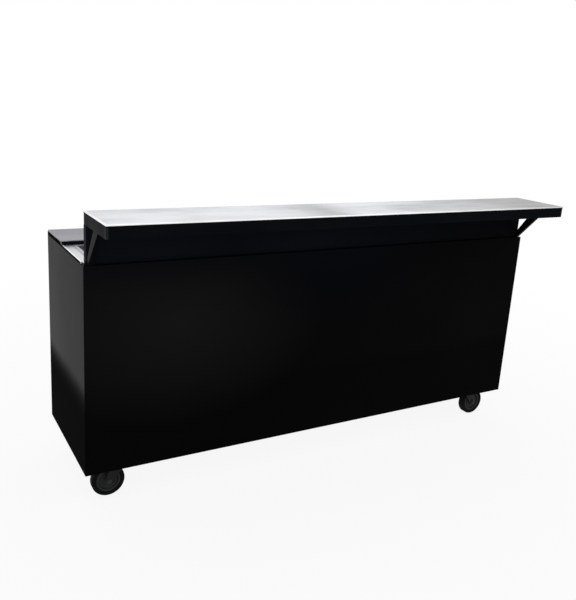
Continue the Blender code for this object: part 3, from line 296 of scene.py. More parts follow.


# The outer shell: a front panel and two end panels of steel sheet, folded at their edges and sprayed with
# black gloss enamel, which has a fine orange peel and wipe marks, with a painted sheen at the upper left of
# the front and painted shade along its top. It is rubbed dull low down, where mops and shoes reach it.
def dull_below(material, low, high, roughness):
    """A finish rubbed dull low down: its roughness comes up to a value between two heights."""
    tree = material.node_tree
    where, split = add_nodes(tree, "TexCoord", "SeparateXYZ")
    share, blend = add_nodes(tree, "MapRange", "Mix")
    share.interpolation_type = "SMOOTHSTEP"
    set_values(share, ("From Min", low), ("From Max", high))
    set_values(blend, (2, roughness))
    rough = tree.nodes["Principled BSDF"].inputs["Roughness"]
    tree.links.new(where.outputs["Object"], split.inputs[0])
    tree.links.new(split.outputs["Z"], share.inputs["Value"])
    tree.links.new(share.outputs["Result"], blend.inputs[0])
    tree.links.new(rough.links[0].from_socket, blend.inputs[3])
    tree.links.new(blend.outputs[0], rough)


def painted_light_patch(material, centre, reach, colour):
    """Painted light or shade: another colour that comes in towards a place on the piece."""
    tree = material.node_tree
    where, mapping = add_nodes(tree, "TexCoord", "Mapping")
    ball, blend = add_nodes(tree, "TexGradient", "Mix")
    set_values(mapping, ("Location", [-place / size for place, size in zip(centre, reach)]),
               ("Scale", [1.0 / size for size in reach]))
    ball.gradient_type = "SPHERICAL"
    blend.data_type = "RGBA"
    share, old, new = (blend.inputs[i] for i in (0, 6, 7))
    new.default_value = (*colour, 1.0)
    base = tree.nodes["Principled BSDF"].inputs["Base Color"]
    tree.links.new(where.outputs["Object"], mapping.inputs["Vector"])
    tree.links.new(mapping.outputs["Vector"], ball.inputs["Vector"])
    tree.links.new(ball.outputs["Fac"], share)
    tree.links.new(base.links[0].from_socket, old)
    tree.links.new(blend.outputs[2], base)


enamel = finish("black_gloss_enamel", (1.6, 3.0, (0.7, 1.0, 1.0)),
                ((0.38, (0.0022, 0.0023, 0.0025)), (0.52, (0.0027, 0.0027, 0.0027)),
                 (0.70, (0.0035, 0.0035, 0.0034))),
                (0.14, 0.26, 3.0, 6.0, (1.0, 1.0, 0.5)), (0.03, 0.0004, 420.0, 1.0), specular=0.005)
# Painted light: a lighter patch at the upper left of the front paints a sheen, and the two blue-black patches
# along its top paint the shade under the bar.
painted_light_patch(enamel, (-0.66, -0.18, 0.68), (0.62, 0.40, 0.42), (0.0085, 0.0085, 0.0084))
painted_light_patch(enamel, (0.02, -0.18, 0.86), (0.50, 0.30, 0.30), (0.0024, 0.0029, 0.0046))
painted_light_patch(enamel, (-0.50, -0.18, 0.93), (1.20, 0.30, 0.13), (0.0036, 0.0042, 0.0056))
DULL_LOW, DULL_HIGH, DULL_ROUGHNESS = 0.36, 0.50, 0.85
dull_below(enamel, DULL_LOW, DULL_HIGH, DULL_ROUGHNESS)
emboss(enamel, grain(enamel, 5.0, 1.0), 0.04, 0.004)

PANEL_EDGE = 0.0009
cover("front_panel", "front_panel_sheet", "black_enamel", enamel, PANEL_EDGE, 3)
for end in ENDS:
    node = f"{end}_end_panel"
    cover(node, f"{node}_sheet", "black_enamel", enamel, PANEL_EDGE, 3)


# The bar: a riser folded from enamelled sheet on the front panel's top return, its enamel tinted with painted
# shade, and a thick laminated shelf that overhangs it, with a bar as a brace under each end. A brushed sheet
# is bonded to the shelf's top, with painted reflections on it, and a bright strip with a painted highlight is
# pressed round its edge over a black line that paints the shadow under it.
AXIAL = 0.9                                 # a direction with this share along an axis lies along it
LATHE_MERGE = 1e-6


def new_box(name, low, high):
    """A box between two corners, with its place in its mesh."""
    deselect()
    low, high = Vector(low), Vector(high)
    bpy.ops.mesh.primitive_cube_add(size=1.0, location=(low + high) / 2)
    box = bpy.context.object
    box.scale = high - low
    bpy.ops.object.transform_apply()
    box.name = box.data.name = name
    return box


def pick(piece, faces=None, edges=None):
    """Opens a piece for editing with the faces or edges that a test chooses by their place and direction."""
    choose(piece)
    mesh = piece.data
    for items in (mesh.vertices, mesh.edges, mesh.polygons):
        items.foreach_set("select", [False] * len(items))
    if faces:
        for face in mesh.polygons:
            face.select = faces(face.center, face.normal)
    else:
        for edge in mesh.edges:
            start, stop = (mesh.vertices[i].co for i in edge.vertices)
            edge.select = edges((start + stop) / 2, (stop - start).normalized())
    bpy.context.tool_settings.mesh_select_mode = (False, faces is None, faces is not None)
    bpy.ops.object.mode_set(mode="EDIT")


def upright(at, along):
    """Chooses the edges that stand."""
    return abs(along.z) > AXIAL


def bevel_edges(piece, offset, segments, chosen):
    """Rounds the edges that a test chooses."""
    pick(piece, edges=chosen)
    bpy.ops.mesh.bevel(offset=offset, segments=segments, affect="EDGES")
    done()


def face_out():
    """Turns the faces of the open piece outwards and closes it."""
    bpy.ops.mesh.select_all(action="SELECT")
    bpy.ops.mesh.normals_make_consistent(inside=False)
    done()


def lathe(name, outline, centre=(0.0, 0.0, 0.0), axis="Z", steps=48):
    """A closed outline of (radius, height) points turned about an axis."""
    deselect()
    bpy.ops.mesh.primitive_circle_add(vertices=len(outline), radius=1.0)
    piece = bpy.context.object
    piece.name = piece.data.name = name
    for vertex, (radius, height) in zip(piece.data.vertices, outline):
        vertex.co = (radius, 0.0, height)
    open_all(piece)
    bpy.ops.mesh.spin(steps=steps, angle=math.tau, center=(0.0, 0.0, 0.0), axis=(0.0, 0.0, 1.0))
    bpy.ops.mesh.select_all(action="SELECT")
    bpy.ops.mesh.remove_doubles(threshold=LATHE_MERGE)
    bpy.ops.mesh.delete_loose()
    face_out()
    turn = {"X": Matrix.Rotation(math.pi / 2, 4, "Y"), "Y": Matrix.Rotation(-math.pi / 2, 4, "X"),
            "Z": Matrix()}[axis]
    piece.data.transform(Matrix.Translation(centre) @ turn)
    bpy.ops.object.shade_smooth_by_angle(angle=math.radians(35.0))
    return piece


def surround(name, outline, low, high, axis="Z"):
    """A mitred frame: an outline of (inset, height) points carried round the rectangle of a box."""
    reach = 2 * max(inset for inset, height in outline)
    piece = lathe(name, [(math.sqrt(2.0) * (reach - inset), height) for inset, height in outline], steps=4)
    across = 1 if axis == "Z" else 2
    for vertex in piece.data.vertices:
        x, y, height = vertex.co
        place = [0.0, height, 0.0] if axis == "Y" else [0.0, 0.0, height]
        for index, value in ((0, x - y), (across, x + y)):
            middle, half = (low[index] + high[index]) / 2, (high[index] - low[index]) / 2
            place[index] = middle + math.copysign(half - reach, value) + value / math.sqrt(2.0)
        vertex.co = place
    open_all(piece)
    face_out()
    return piece


laminate = finish("dark_bar_laminate", (6.0, 6.0, (1.0, 1.0, 3.0)),
                  ((0.3, (0.0028, 0.0034, 0.0048)), (0.75, (0.0044, 0.0048, 0.0058))),
                  (0.24, 0.38, 14.0), (0.05, 0.0004, 260.0, 2.0), specular=0.0045)
# Painted shade: the riser's enamel is the black enamel made bluish for the shade under the shelf, and its
# patch makes it darker and greyer towards the right end.
riser_shade_enamel = finish("riser_enamel_painted_shade", (2.4,),
                     ((0.35, (0.0044, 0.0056, 0.0082)), (0.7, (0.0062, 0.0074, 0.0104))),
                     (0.18, 0.30, 5.0, 5.0), (0.03, 0.0004, 420.0, 1.0), specular=0.002)
painted_light_patch(riser_shade_enamel, (0.85, -0.19, 0.99), (0.95, 0.60, 0.60), (0.0034, 0.0036, 0.0040))
edge_band = finish("grey_edge_band", (20.0, 6.0, (1.0, 1.0, 4.0)),
                   ((0.3, (0.009, 0.013, 0.013)), (0.7, (0.016, 0.020, 0.020))),
                   (0.28, 0.45, 60.0), specular=0.02)
# The black of the lines that paint shadow under the bar's edge strip and at the deck's ends and hems.
shade_line_black = finish("black_painted_shade_line", (90.0,), ((0.3, (0.0015, 0.0015, 0.0015)), (0.7, (0.0030, 0.0030, 0.0030))),
                 relief=(0.2, 0.0004, 160.0, 2.0), specular=0.002, roughness=0.7)

BRUSH = (4.0, 6.0, (1.2, 260.0, 260.0))
wear_and_reflections = finish("bar_sheet_wear_and_painted_reflections", (3.2, 9.0, (1.0, 2.2, 1.0)),
              ((0.30, (0.46, 0.47, 0.50)), (0.46, (0.60, 0.61, 0.64)), (0.62, (0.72, 0.73, 0.77))),
              (0.26, 0.42, 9.0, 6.0, (0.5, 3.0, 3.0)), (0.06, 0.0002, *BRUSH), metallic=1.0)
# Painted reflections: a dark smear left of the middle of the bar top, and its right end darker.
painted_light_patch(wear_and_reflections, (-0.16, -0.27, 1.085), (0.13, 0.60, 0.60), (0.36, 0.38, 0.38))
painted_light_patch(wear_and_reflections, (1.10, -0.20, 1.085), (1.00, 0.80, 0.80), (0.18, 0.18, 0.17))
emboss(wear_and_reflections, grain(wear_and_reflections, 26.0, 3.0), 0.05, 0.0010)
# Painted highlight: the steel of the edge strip and the hems is the stainless made far brighter, and its
# patch darkens the right end as painted reflection.
edge_highlight_steel = finish("edge_steel_painted_highlight", (12.0, 6.0, (1.0, 4.0, 4.0)),
                  ((0.3, (0.76, 0.76, 0.77)), (0.6, (0.92, 0.92, 0.93))),
                  (0.18, 0.30, 30.0, 4.0, (0.4, 2.0, 2.0)), metallic=1.0)
painted_light_patch(edge_highlight_steel, (1.25, -0.39, 1.085), (1.10, 0.80, 0.80), (0.42, 0.42, 0.41))

EDGE_WIDTH, EDGE_DROP, EDGE_SHEET, EDGE_ROUND, CORE_CORNER = 0.006, 0.0042, 0.0008, 0.0022, 0.008
SHEET_TOP, SHEET_FOOT = 0.0005, 0.0020      # the bonded sheet's faces lie so far below the strip's top
cover("bar_riser", "bar_riser_folded", "black_enamel", riser_shade_enamel, PANEL_EDGE, 3)
low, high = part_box("bar_shelf")
bar_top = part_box("bar_skin")[1].z
inside = Vector((EDGE_SHEET, EDGE_SHEET, 0.0))
core = new_box("bar_shelf_core", low + inside, Vector((*(high - inside).xy, bar_top - SHEET_FOOT)))
bevel_edges(core, CORE_CORNER, 6, lambda at, along: upright(at, along) and at.y < low.y + CORE_CORNER)
round_edges(core, 0.0012)
fit(core, "bar_laminate", laminate, "bar_shelf")
sheet = new_box("bar_top_sheet", Vector((*(low + 2 * inside).xy, bar_top - SHEET_FOOT)),
                Vector((*(high - 2 * inside).xy, bar_top - SHEET_TOP)))
round_edges(sheet, 0.0003, 1)
fit(sheet, "stainless", wear_and_reflections, "bar_skin")
strip = [(0.0, bar_top - EDGE_DROP)]
strip += [(EDGE_ROUND * (1.0 - math.cos(a)), bar_top - EDGE_ROUND * (1.0 - math.sin(a)))
          for a in (math.pi / 8 * i for i in range(5))]
strip += [(EDGE_WIDTH, bar_top), (EDGE_WIDTH, bar_top - EDGE_SHEET), (EDGE_SHEET, bar_top - 2 * EDGE_SHEET),
          (EDGE_SHEET, bar_top - EDGE_DROP)]
fit(surround("bar_edge_strip", strip, low, high), "stainless", edge_highlight_steel)

# Painted shade: a black line under the edge strip paints the shadow beneath its drop.
SEAM, SEAM_FACE, SEAM_BACK = 0.0030, 0.0002, 0.0020
seam_top = bar_top - EDGE_DROP
seam_foot = seam_top - SEAM
seam = [(SEAM_FACE, seam_foot), (SEAM_FACE, seam_top), (SEAM_BACK, seam_top), (SEAM_BACK, seam_foot)]
fit(surround("bar_edge_shade_line", seam, low, high), "black_enamel", shade_line_black)
BAND, BAND_CORNER, BAND_INSET, BAND_LIFT = 0.011, 0.0035, 0.0003, 0.0010
for end, near, far in (("left", low.x, low.x + BAND), ("right", high.x - BAND, high.x)):
    band = new_box(f"bar_corner_band_{end}", (near + BAND_INSET, low.y + BAND_INSET, low.z + BAND_LIFT),
                   (far - BAND_INSET, low.y + BAND, seam_foot))
    bevel_edges(band, BAND_CORNER, 4, upright)
    round_edges(band, 0.0003, 1)
    fit(band, "bar_laminate", edge_band)
for end in ENDS:
    node = f"brace_{end}"
    cover(node, f"{node}_flat_bar", "black_enamel", enamel, SHEET_EDGE)


# The deck, the raised ledge and the cold tub: stainless sheet with a fine brushed grain along the
# counter; the tub hangs in the deck by its flange, with a slotted floor. The deck is painted brighter and the
# ledge darker than the tub, as painted reflections, and black lines at the ends of the deck and ledge and at
# the feet of the deck's hems paint the shadow of the joints and folds.
def brushed_sheet(name, dark, light, wiping, low, high, relief):
    """Sheet brushed along the counter: the strokes show in its colour and relief, and wiping in its gloss."""
    return finish(name, BRUSH, ((0.25, dark), (0.75, light)), (low, high, wiping, 5.0, (0.6, 3.0, 3.0)),
                  (relief, 0.0002, *BRUSH), metallic=1.0)


def join(name, pieces):
    """Several shapes as one piece."""
    deselect()
    for piece in pieces:
        piece.select_set(True)
    bpy.context.view_layer.objects.active = pieces[0]
    bpy.ops.object.join()
    pieces[0].name = pieces[0].data.name = name
    return pieces[0]


# The deck's sheet is the brushed stainless made lighter, and the ledge's made darker, as painted reflections.
brushed = brushed_sheet("brushed_stainless", (0.38, 0.38, 0.40), (0.52, 0.52, 0.535), 2.2, 0.26, 0.42, 0.06)
dark_ledge_steel = brushed_sheet("ledge_sheet_painted_dark", (0.18, 0.18, 0.205), (0.28, 0.28, 0.31), 2.6, 0.28, 0.38, 0.05)
deck_steel = brushed_sheet("bright_deck_sheet", (0.55, 0.56, 0.58), (0.70, 0.71, 0.73), 2.2, 0.26, 0.40, 0.06)

END_SHADE_LINE, HEM_WIDTH, HEM_SHEET, FOLD_SHADE = 0.0016, 0.008, 0.0012, 0.0028
DECK_SHEET, DECK_DROP, DECK_EDGE = 0.0015, 0.0006, 0.0006
SHADE_LINE_END, SHADE_LINE_LAP = 0.001, 0.0002          # the black shade lines stop short of the ends, and lap under the pieces beside them
LIP_DROP = 0.006
deck_low, deck_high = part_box("deck")
ledge_low, ledge_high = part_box("rear_ledge")
deck_sheet = softened("deck", "deck_sheet", DECK_EDGE)
ledge_sheet = softened("rear_ledge", "work_ledge", PANEL_EDGE, 3)
for piece in (deck_sheet, ledge_sheet):
    for vertex in piece.data.vertices:
        vertex.co.x = max(deck_low.x + END_SHADE_LINE, min(deck_high.x - END_SHADE_LINE, vertex.co.x))
for vertex in deck_sheet.data.vertices:
    if vertex.co.z > deck_high.z - HEM_SHEET:
        vertex.co.z -= DECK_DROP
fit(deck_sheet, "stainless", deck_steel, "deck")
fit(ledge_sheet, "stainless", dark_ledge_steel, "rear_ledge")
shade_lines, hems = [], []
flat = deck_low.z + DECK_SHEET
front, back = deck_low.y + SHADE_LINE_END, deck_high.y - SHADE_LINE_END
# Painted shade: black lines at the ends of the deck and ledge paint the shadow of the joint with the end
# panels, and a black strip inside each hem paints the shadow of its fold.
for edge, way in ((deck_low.x, 1.0), (deck_high.x, -1.0)):
    end_shade, cap, fold_shade = (sorted((edge + way * start, edge + way * stop)) for start, stop in (
        (0.0, END_SHADE_LINE - SHADE_LINE_LAP), (END_SHADE_LINE, HEM_WIDTH), (HEM_WIDTH, HEM_WIDTH + FOLD_SHADE)))
    shade_lines += [new_box("end_shade", (end_shade[0], front, deck_low.z - SHADE_LINE_LAP), (end_shade[1], back, deck_high.z - DECK_DROP)),
              new_box("lip", (end_shade[0], ledge_low.y + SHADE_LINE_END, deck_high.z - DECK_DROP - SHADE_LINE_LAP),
                      (end_shade[1], ledge_high.y - SHADE_LINE_END, ledge_high.z - LIP_DROP)),
              new_box("fold_shade", (fold_shade[0], front, flat - SHADE_LINE_LAP),
                      (fold_shade[1], ledge_low.y, flat + DECK_DROP))]
    hems.append(new_box("cap", (cap[0], deck_low.y + SHADE_LINE_END / 2, deck_high.z - HEM_SHEET),
                        (cap[1], ledge_low.y, deck_high.z)))
for trim_piece in shade_lines + hems:
    round_edges(trim_piece, 0.0003)
fit(join("painted_shade_lines", shade_lines), "black_enamel", shade_line_black)
fit(join("deck_hems", hems), "stainless", edge_highlight_steel)
# Painted reflection: the black strip on the ledge's front face stands for the riser's dark reflection in it.
SKIRT_END, SKIRT_SHEET, SKIRT_LAP, SKIRT_FOOT, SKIRT_DROP = 0.004, 0.0010, 0.0002, 0.0003, 0.0034
skirt = new_box("ledge_front_strip",
                (ledge_low.x + SKIRT_END, ledge_low.y - SKIRT_SHEET, ledge_low.z + SKIRT_FOOT),
                (ledge_high.x - SKIRT_END, ledge_low.y + SKIRT_LAP, ledge_high.z - SKIRT_DROP))
round_edges(skirt, 0.0004)
fit(skirt, "black_enamel", riser_shade_enamel)
low, high = ledge_low.copy(), ledge_high.copy()
low.x, high.x = low.x + END_SHADE_LINE, high.x - END_SHADE_LINE
hem = [(0.0, -0.0030), (0.0003, -0.0008), (0.0012, 0.0), (0.0040, 0.0), (0.0046, -0.0005), (0.0046, -0.0012),
       (0.0012, -0.0030)]
hem = [(inset, high.z + height) for inset, height in hem]
fit(surround("ledge_hem", hem, low, high), "stainless", edge_highlight_steel)
cover("well_liner", "cold_tub", "stainless", brushed, DECK_EDGE)
cover("well_floor", "slotted_floor", "stainless", brushed, DECK_EDGE)


# The casters: four pressed steel swivel casters, bolted by their top plates under the rails. Each has a ball
# race and kingpin, a fork pressed from one sheet and blackened, and a rubber tyre on a moulded core.
def hex_head(name, across, height, centre, axis="Z", up=1.0):
    """A hexagonal bolt head or nut on its washer, chamfered on its outer side."""
    washer = 0.2 * height
    flange = [(0.0, 0.0), (1.22 * across, 0.0), (1.22 * across, 0.7 * washer), (1.16 * across, washer),
              (0.0, washer)]
    head = [(0.0, washer), (across, washer), (across, 0.86 * height), (0.86 * across, height), (0.0, height)]
    return join(name, [lathe(name, [(r, up * h) for r, h in outline], centre, axis, steps)
                       for outline, steps in ((flange, 24), (head, 6))])


def both_sides(outline, *middle):
    """An outline with its mirror image on the other side of height 0."""
    return outline + list(middle) + [(r, -h) for r, h in reversed(outline)]


def discard(*pieces):
    for piece in pieces:
        bpy.data.objects.remove(piece, do_unlink=True)


def wrap(name, pieces):
    """The closed convex shape round some pieces."""
    piece = join(name, pieces)
    open_all(piece)
    bpy.ops.mesh.convex_hull()
    done()
    return piece


tyre_rubber = finish("tyre_rubber", (30.0, 8.0),
                     ((0.35, (0.002, 0.002, 0.002)), (0.75, (0.006, 0.006, 0.006))),
                     (0.5, 0.75, 60.0), (0.15, 0.0003, 700.0, 2.0), specular=0.05)
core_plastic = finish("moulded_wheel_core", (40.0, 6.0),
                      ((0.35, (0.015, 0.017, 0.017)), (0.75, (0.028, 0.030, 0.030))),
                      (0.35, 0.55, 80.0), (0.08, 0.0002, 900.0, 1.0), specular=0.10)
black_zinc = finish("blackened_zinc", (25.0, 8.0),
                    ((0.35, (0.006, 0.006, 0.006)), (0.72, (0.015, 0.015, 0.014))),
                    (0.32, 0.55, 50.0), (0.05, 0.0002, 600.0, 2.0), metallic=0.2, specular=0.12)
bright_zinc = finish("bright_zinc", (120.0, 6.0), ((0.3, (0.40, 0.40, 0.39)), (0.7, (0.60, 0.60, 0.58))),
                     (0.28, 0.45, 200.0), metallic=1.0)
grey_zinc = finish("grey_zinc", (120.0, 6.0), ((0.3, (0.014, 0.014, 0.014)), (0.7, (0.028, 0.028, 0.027))),
                   (0.32, 0.5, 200.0), metallic=0.8)

plate_low, plate_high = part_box("caster_plate_front_left")
tyre_low, tyre_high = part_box("caster_tyre_front_left")
swivel = Vector(((plate_low.x + plate_high.x) / 2, (plate_low.y + plate_high.y) / 2, 0.0))
axle = (tyre_low + tyre_high) / 2 - swivel
tread = (tyre_high.z - tyre_low.z) / 2
half_tyre = (tyre_high.y - tyre_low.y) / 2

SHOULDER, WHEEL_STEPS = 0.006, 72
side_wall = [(0.0458, half_tyre - 0.0026), (0.0472, half_tyre - 0.0010), (0.0490, half_tyre - 0.0004),
             (0.0500, half_tyre - 0.0011), (0.0526, half_tyre - 0.0011), (0.0536, half_tyre)]
side_wall += [(tread - SHOULDER + SHOULDER * math.cos(a), half_tyre - SHOULDER + SHOULDER * math.sin(a))
              for a in (math.radians(90.0 - 15.0 * i) for i in range(7))]
tyre_master = lathe("tyre_master", both_sides(side_wall, (tread, 0.0)), axle, "Y", WHEEL_STEPS)

core_side = [(0.0053, 0.0155), (0.0085, 0.0165), (0.0150, 0.0165), (0.0165, 0.0152), (0.0178, 0.0078),
             (0.0200, 0.0060), (0.0250, 0.0060), (0.0262, 0.0082), (0.0290, 0.0082), (0.0302, 0.0060),
             (0.0362, 0.0060), (0.0374, 0.0072), (0.0385, 0.0124), (0.0397, 0.0135), (0.0446, 0.0135),
             (0.0455, 0.0126)]
core_master = lathe("core_master", both_sides(core_side), axle, "Y", WHEEL_STEPS)

CROWN, CROWN_TOP, CROWN_DEPTH = 0.0285, 0.1335, 0.010
FORK_SHEET, FORK_FOLD, LEG_END, HALF_FORK, OUTLINE_HALF = 0.0035, 0.0045, 0.0145, 0.0215, 0.04
SPARE = 0.001                               # material outside the outline, which is cut away
PEDAL_PIN = Vector((axle.x - 0.050, 0.0, 0.119))
EAR_END, EAR_IN, EAR_OUT, EAR_FRONT, EAR_DEPTH = 0.007, 0.0183, 0.0212, -0.012, 0.013


def disc(name, radius, half_width, centre):
    """A short round bar across the caster, as a start for an outline."""
    deselect()
    bpy.ops.mesh.primitive_cylinder_add(vertices=48, radius=radius, depth=2 * half_width, location=centre,
                                        rotation=(math.pi / 2, 0.0, 0.0))
    bpy.ops.object.transform_apply()
    bpy.context.object.name = name
    return bpy.context.object


def fork_pressing(name, braked):
    """The fork: a sheet folded down at both sides of the crown, its legs tapered to the axle."""
    fork = new_box(name, (axle.x - LEG_END - SPARE, -HALF_FORK, axle.z - LEG_END - SPARE),
                   (CROWN + SPARE, HALF_FORK, CROWN_TOP))
    pick(fork, faces=lambda at, normal: normal.z < -AXIAL or abs(normal.x) > AXIAL)
    bpy.ops.mesh.delete(type="FACE")
    done()
    bevel_edges(fork, FORK_FOLD, 5, lambda at, along: at.z > CROWN_TOP - TOUCH and abs(along.x) > AXIAL)
    modify(fork, "SOLIDIFY", thickness=FORK_SHEET, offset=-1.0)
    crown = new_box("crown", (-CROWN, -OUTLINE_HALF, CROWN_TOP - CROWN_DEPTH),
                    (CROWN, OUTLINE_HALF, CROWN_TOP + SPARE))
    outline = wrap("leg_outline", [disc("leg_end", LEG_END, OUTLINE_HALF, axle), crown])
    modify(fork, "BOOLEAN", operation="INTERSECT", object=outline, solver="EXACT")
    discard(outline)
    round_edges(fork, 0.0005)
    parts = [fork, hex_head("kingpin_nut", 0.0085, 0.0048, (0.0, 0.0, CROWN_TOP - FORK_SHEET), "Z", -1.0)]
    if braked:
        for side in (-1.0, 1.0):
            near, far = sorted((side * EAR_IN, side * EAR_OUT))
            root = new_box("root", (-CROWN, near, CROWN_TOP - EAR_DEPTH), (EAR_FRONT, far, CROWN_TOP - SPARE))
            end = disc("ear_end", EAR_END, (far - near) / 2, (PEDAL_PIN.x, (near + far) / 2, PEDAL_PIN.z))
            ear = wrap("ear", [root, end])
            round_edges(ear, 0.0004, 1)
            parts.append(ear)
        pin = [(0.0, 0.0235), (0.0048, 0.0235), (0.0052, 0.0231), (0.0052, 0.0214), (0.0029, 0.0214)]
        parts.append(lathe("pin", [(r, -h) for r, h in pin] + pin[::-1], PEDAL_PIN, "Y", 24))
    return join(name, parts)


plain_fork = fork_pressing("plain_fork", False)
braked_fork = fork_pressing("braked_fork", True)
axle_bolt = join("axle_bolt", [
    hex_head("axle_head", 0.0088, 0.0058, axle + Vector((0.0, side * HALF_FORK, 0.0)), "Y", side)
    for side in (-1.0, 1.0)])

HEAD_LOW, PLATE_TOP, PLATE_SHEET, PLATE_CORNER = plate_low.z, plate_high.z, 0.004, 0.008
PLATE_FOOT = PLATE_TOP - PLATE_SHEET
BOLT_X, BOLT_Y = 0.038, 0.030
plate_x, plate_y = (plate_high.x - plate_low.x) / 2, (plate_high.y - plate_low.y) / 2
plate_master = new_box("plate_master", (-plate_x, -plate_y, PLATE_FOOT), (plate_x, plate_y, PLATE_TOP))
bevel_edges(plate_master, PLATE_CORNER, 5, upright)
round_edges(plate_master, 0.0006)
race = [(0.0065, 0.0), (0.0258, 0.0), (0.0270, 0.0012), (0.0270, 0.0062), (0.0254, 0.0070), (0.0254, 0.0080),
        (0.0262, 0.0088), (0.0262, 0.0130), (0.0246, 0.0150)]
race = [(radius, HEAD_LOW + height) for radius, height in race] + [(0.0238, PLATE_FOOT), (0.0065, PLATE_FOOT)]
plate_master = join("plate_master", [plate_master, lathe("race", race)])
plate_bolts = join("plate_bolts", [hex_head("plate_bolt", 0.0062, 0.0050, (x, y, PLATE_FOOT), "Z", -1.0)
                                   for x in (-BOLT_X, BOLT_X) for y in (-BOLT_Y, BOLT_Y)])

for row in ("front", "rear"):
    for end in ENDS:
        corner = f"{row}_{end}"
        low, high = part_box(f"caster_plate_{corner}")
        turn = Matrix() if end == "left" else Matrix.Rotation(math.pi, 4, "Z")
        place = Matrix.Translation(((low.x + high.x) / 2, (low.y + high.y) / 2, 0.0)) @ turn
        fork, wheel = f"fork_{corner}", f"wheel_{corner}"
        fork_master = braked_fork if row == "rear" else plain_fork
        for master, name, body, slot, material, *nodes in (
                (plate_master, "caster_head", "cabinet", "caster_zinc", black_zinc, "caster_plate"),
                (plate_bolts, "plate_bolts", "cabinet", "caster_zinc", bright_zinc),
                (fork_master, "pressed_fork", fork, "caster_zinc", black_zinc, "caster_fork"),
                (axle_bolt, "axle_bolt", fork, "caster_zinc", grey_zinc),
                (core_master, "wheel_core", wheel, "wheel_core", core_plastic, "caster_wheel"),
                (tyre_master, "rubber_tyre", wheel, "tyre", tyre_rubber, "caster_tyre")):
            fit(copy_of(master, f"{name}_{corner}", place), slot, material,
                *(f"{node}_{corner}" for node in nodes), body=body)
discard(plate_master, plate_bolts, plain_fork, braked_fork, axle_bolt, core_master, tyre_master)


# The cold store: poured foam round a folded stainless liner, a wire shelf on the liner's ledges, and the
# square stainless face frame at the back that the doors close on. Foam also fills the trough round the tub.
def dress(node, material):
    """Gives a CAD piece that keeps its shape a finish."""
    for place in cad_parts[node].material_slots:
        place.material = material


def wire(name, radius, start, length, axis):
    """A straight wire with rounded ends."""
    ends = [(0.0, 0.0), (0.7 * radius, 0.0), (radius, 0.4 * radius)]
    return lathe(name, ends + [(r, length - h) for r, h in reversed(ends)], start, axis, 12)


foam = finish("poured_foam", (60.0, 8.0), ((0.3, (0.62, 0.50, 0.27)), (0.7, (0.80, 0.68, 0.42))),
              (0.8, 0.95, 25.0), (0.4, 0.0008, 350.0, 4.0, EVEN, "TexVoronoi"), specular=0.1)
dress("cabinet_foam", foam)
dress("well_insulation", foam)

cover("storage_liner", "folded_liner", "stainless", brushed, SHEET_EDGE)
cover("rear_frame", "face_frame", "stainless", brushed, SHEET_EDGE)

SHELF_WIRES, RIM_WIRE, CROSS_WIRE, STAY_WIRE, STAY_DROP = 54, 0.0025, 0.0016, 0.0022, 0.0003
low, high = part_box("storage_shelf")
level = low.z + RIM_WIRE
rim_circle = [(RIM_WIRE + RIM_WIRE * math.cos(a), level + RIM_WIRE * math.sin(a))
              for a in (math.tau * i / 12 for i in range(12))]
shelf = [surround("wire_shelf", rim_circle, low, high)]
length = high.y - low.y - RIM_WIRE
pitch = (high.x - low.x - 2 * RIM_WIRE) / (SHELF_WIRES + 1)
for number in range(SHELF_WIRES):
    start = (low.x + RIM_WIRE + (number + 1) * pitch, low.y + RIM_WIRE / 2, high.z - CROSS_WIRE)
    shelf.append(wire("cross_wire", CROSS_WIRE, start, length, "Y"))
for share in (0.33, 0.67):
    start = (low.x + RIM_WIRE / 2, low.y + share * (high.y - low.y), level - STAY_DROP)
    shelf.append(wire("stay_wire", STAY_WIRE, start, high.x - low.x - RIM_WIRE, "X"))
fit(join("wire_shelf", shelf), "stainless", bright_zinc, "storage_shelf")


# The doors: two foamed leaves folded from brushed sheet, hung on pins at their outer edges. The inner face is
# dished; a ribbed magnetic gasket is pressed into it, and a bent round bar is screwed on as the pull.
rubber = finish("gasket_rubber", (35.0, 6.0), ((0.3, (0.09, 0.09, 0.095)), (0.7, (0.16, 0.16, 0.165))),
                (0.45, 0.65, 90.0), (0.1, 0.0003, 500.0, 1.0), specular=0.3)
satin = finish("satin_bar", (5.0, 5.0, (300.0, 300.0, 8.0)),
               ((0.25, (0.50, 0.50, 0.51)), (0.75, (0.68, 0.68, 0.69))), (0.22, 0.36, 40.0), metallic=1.0)

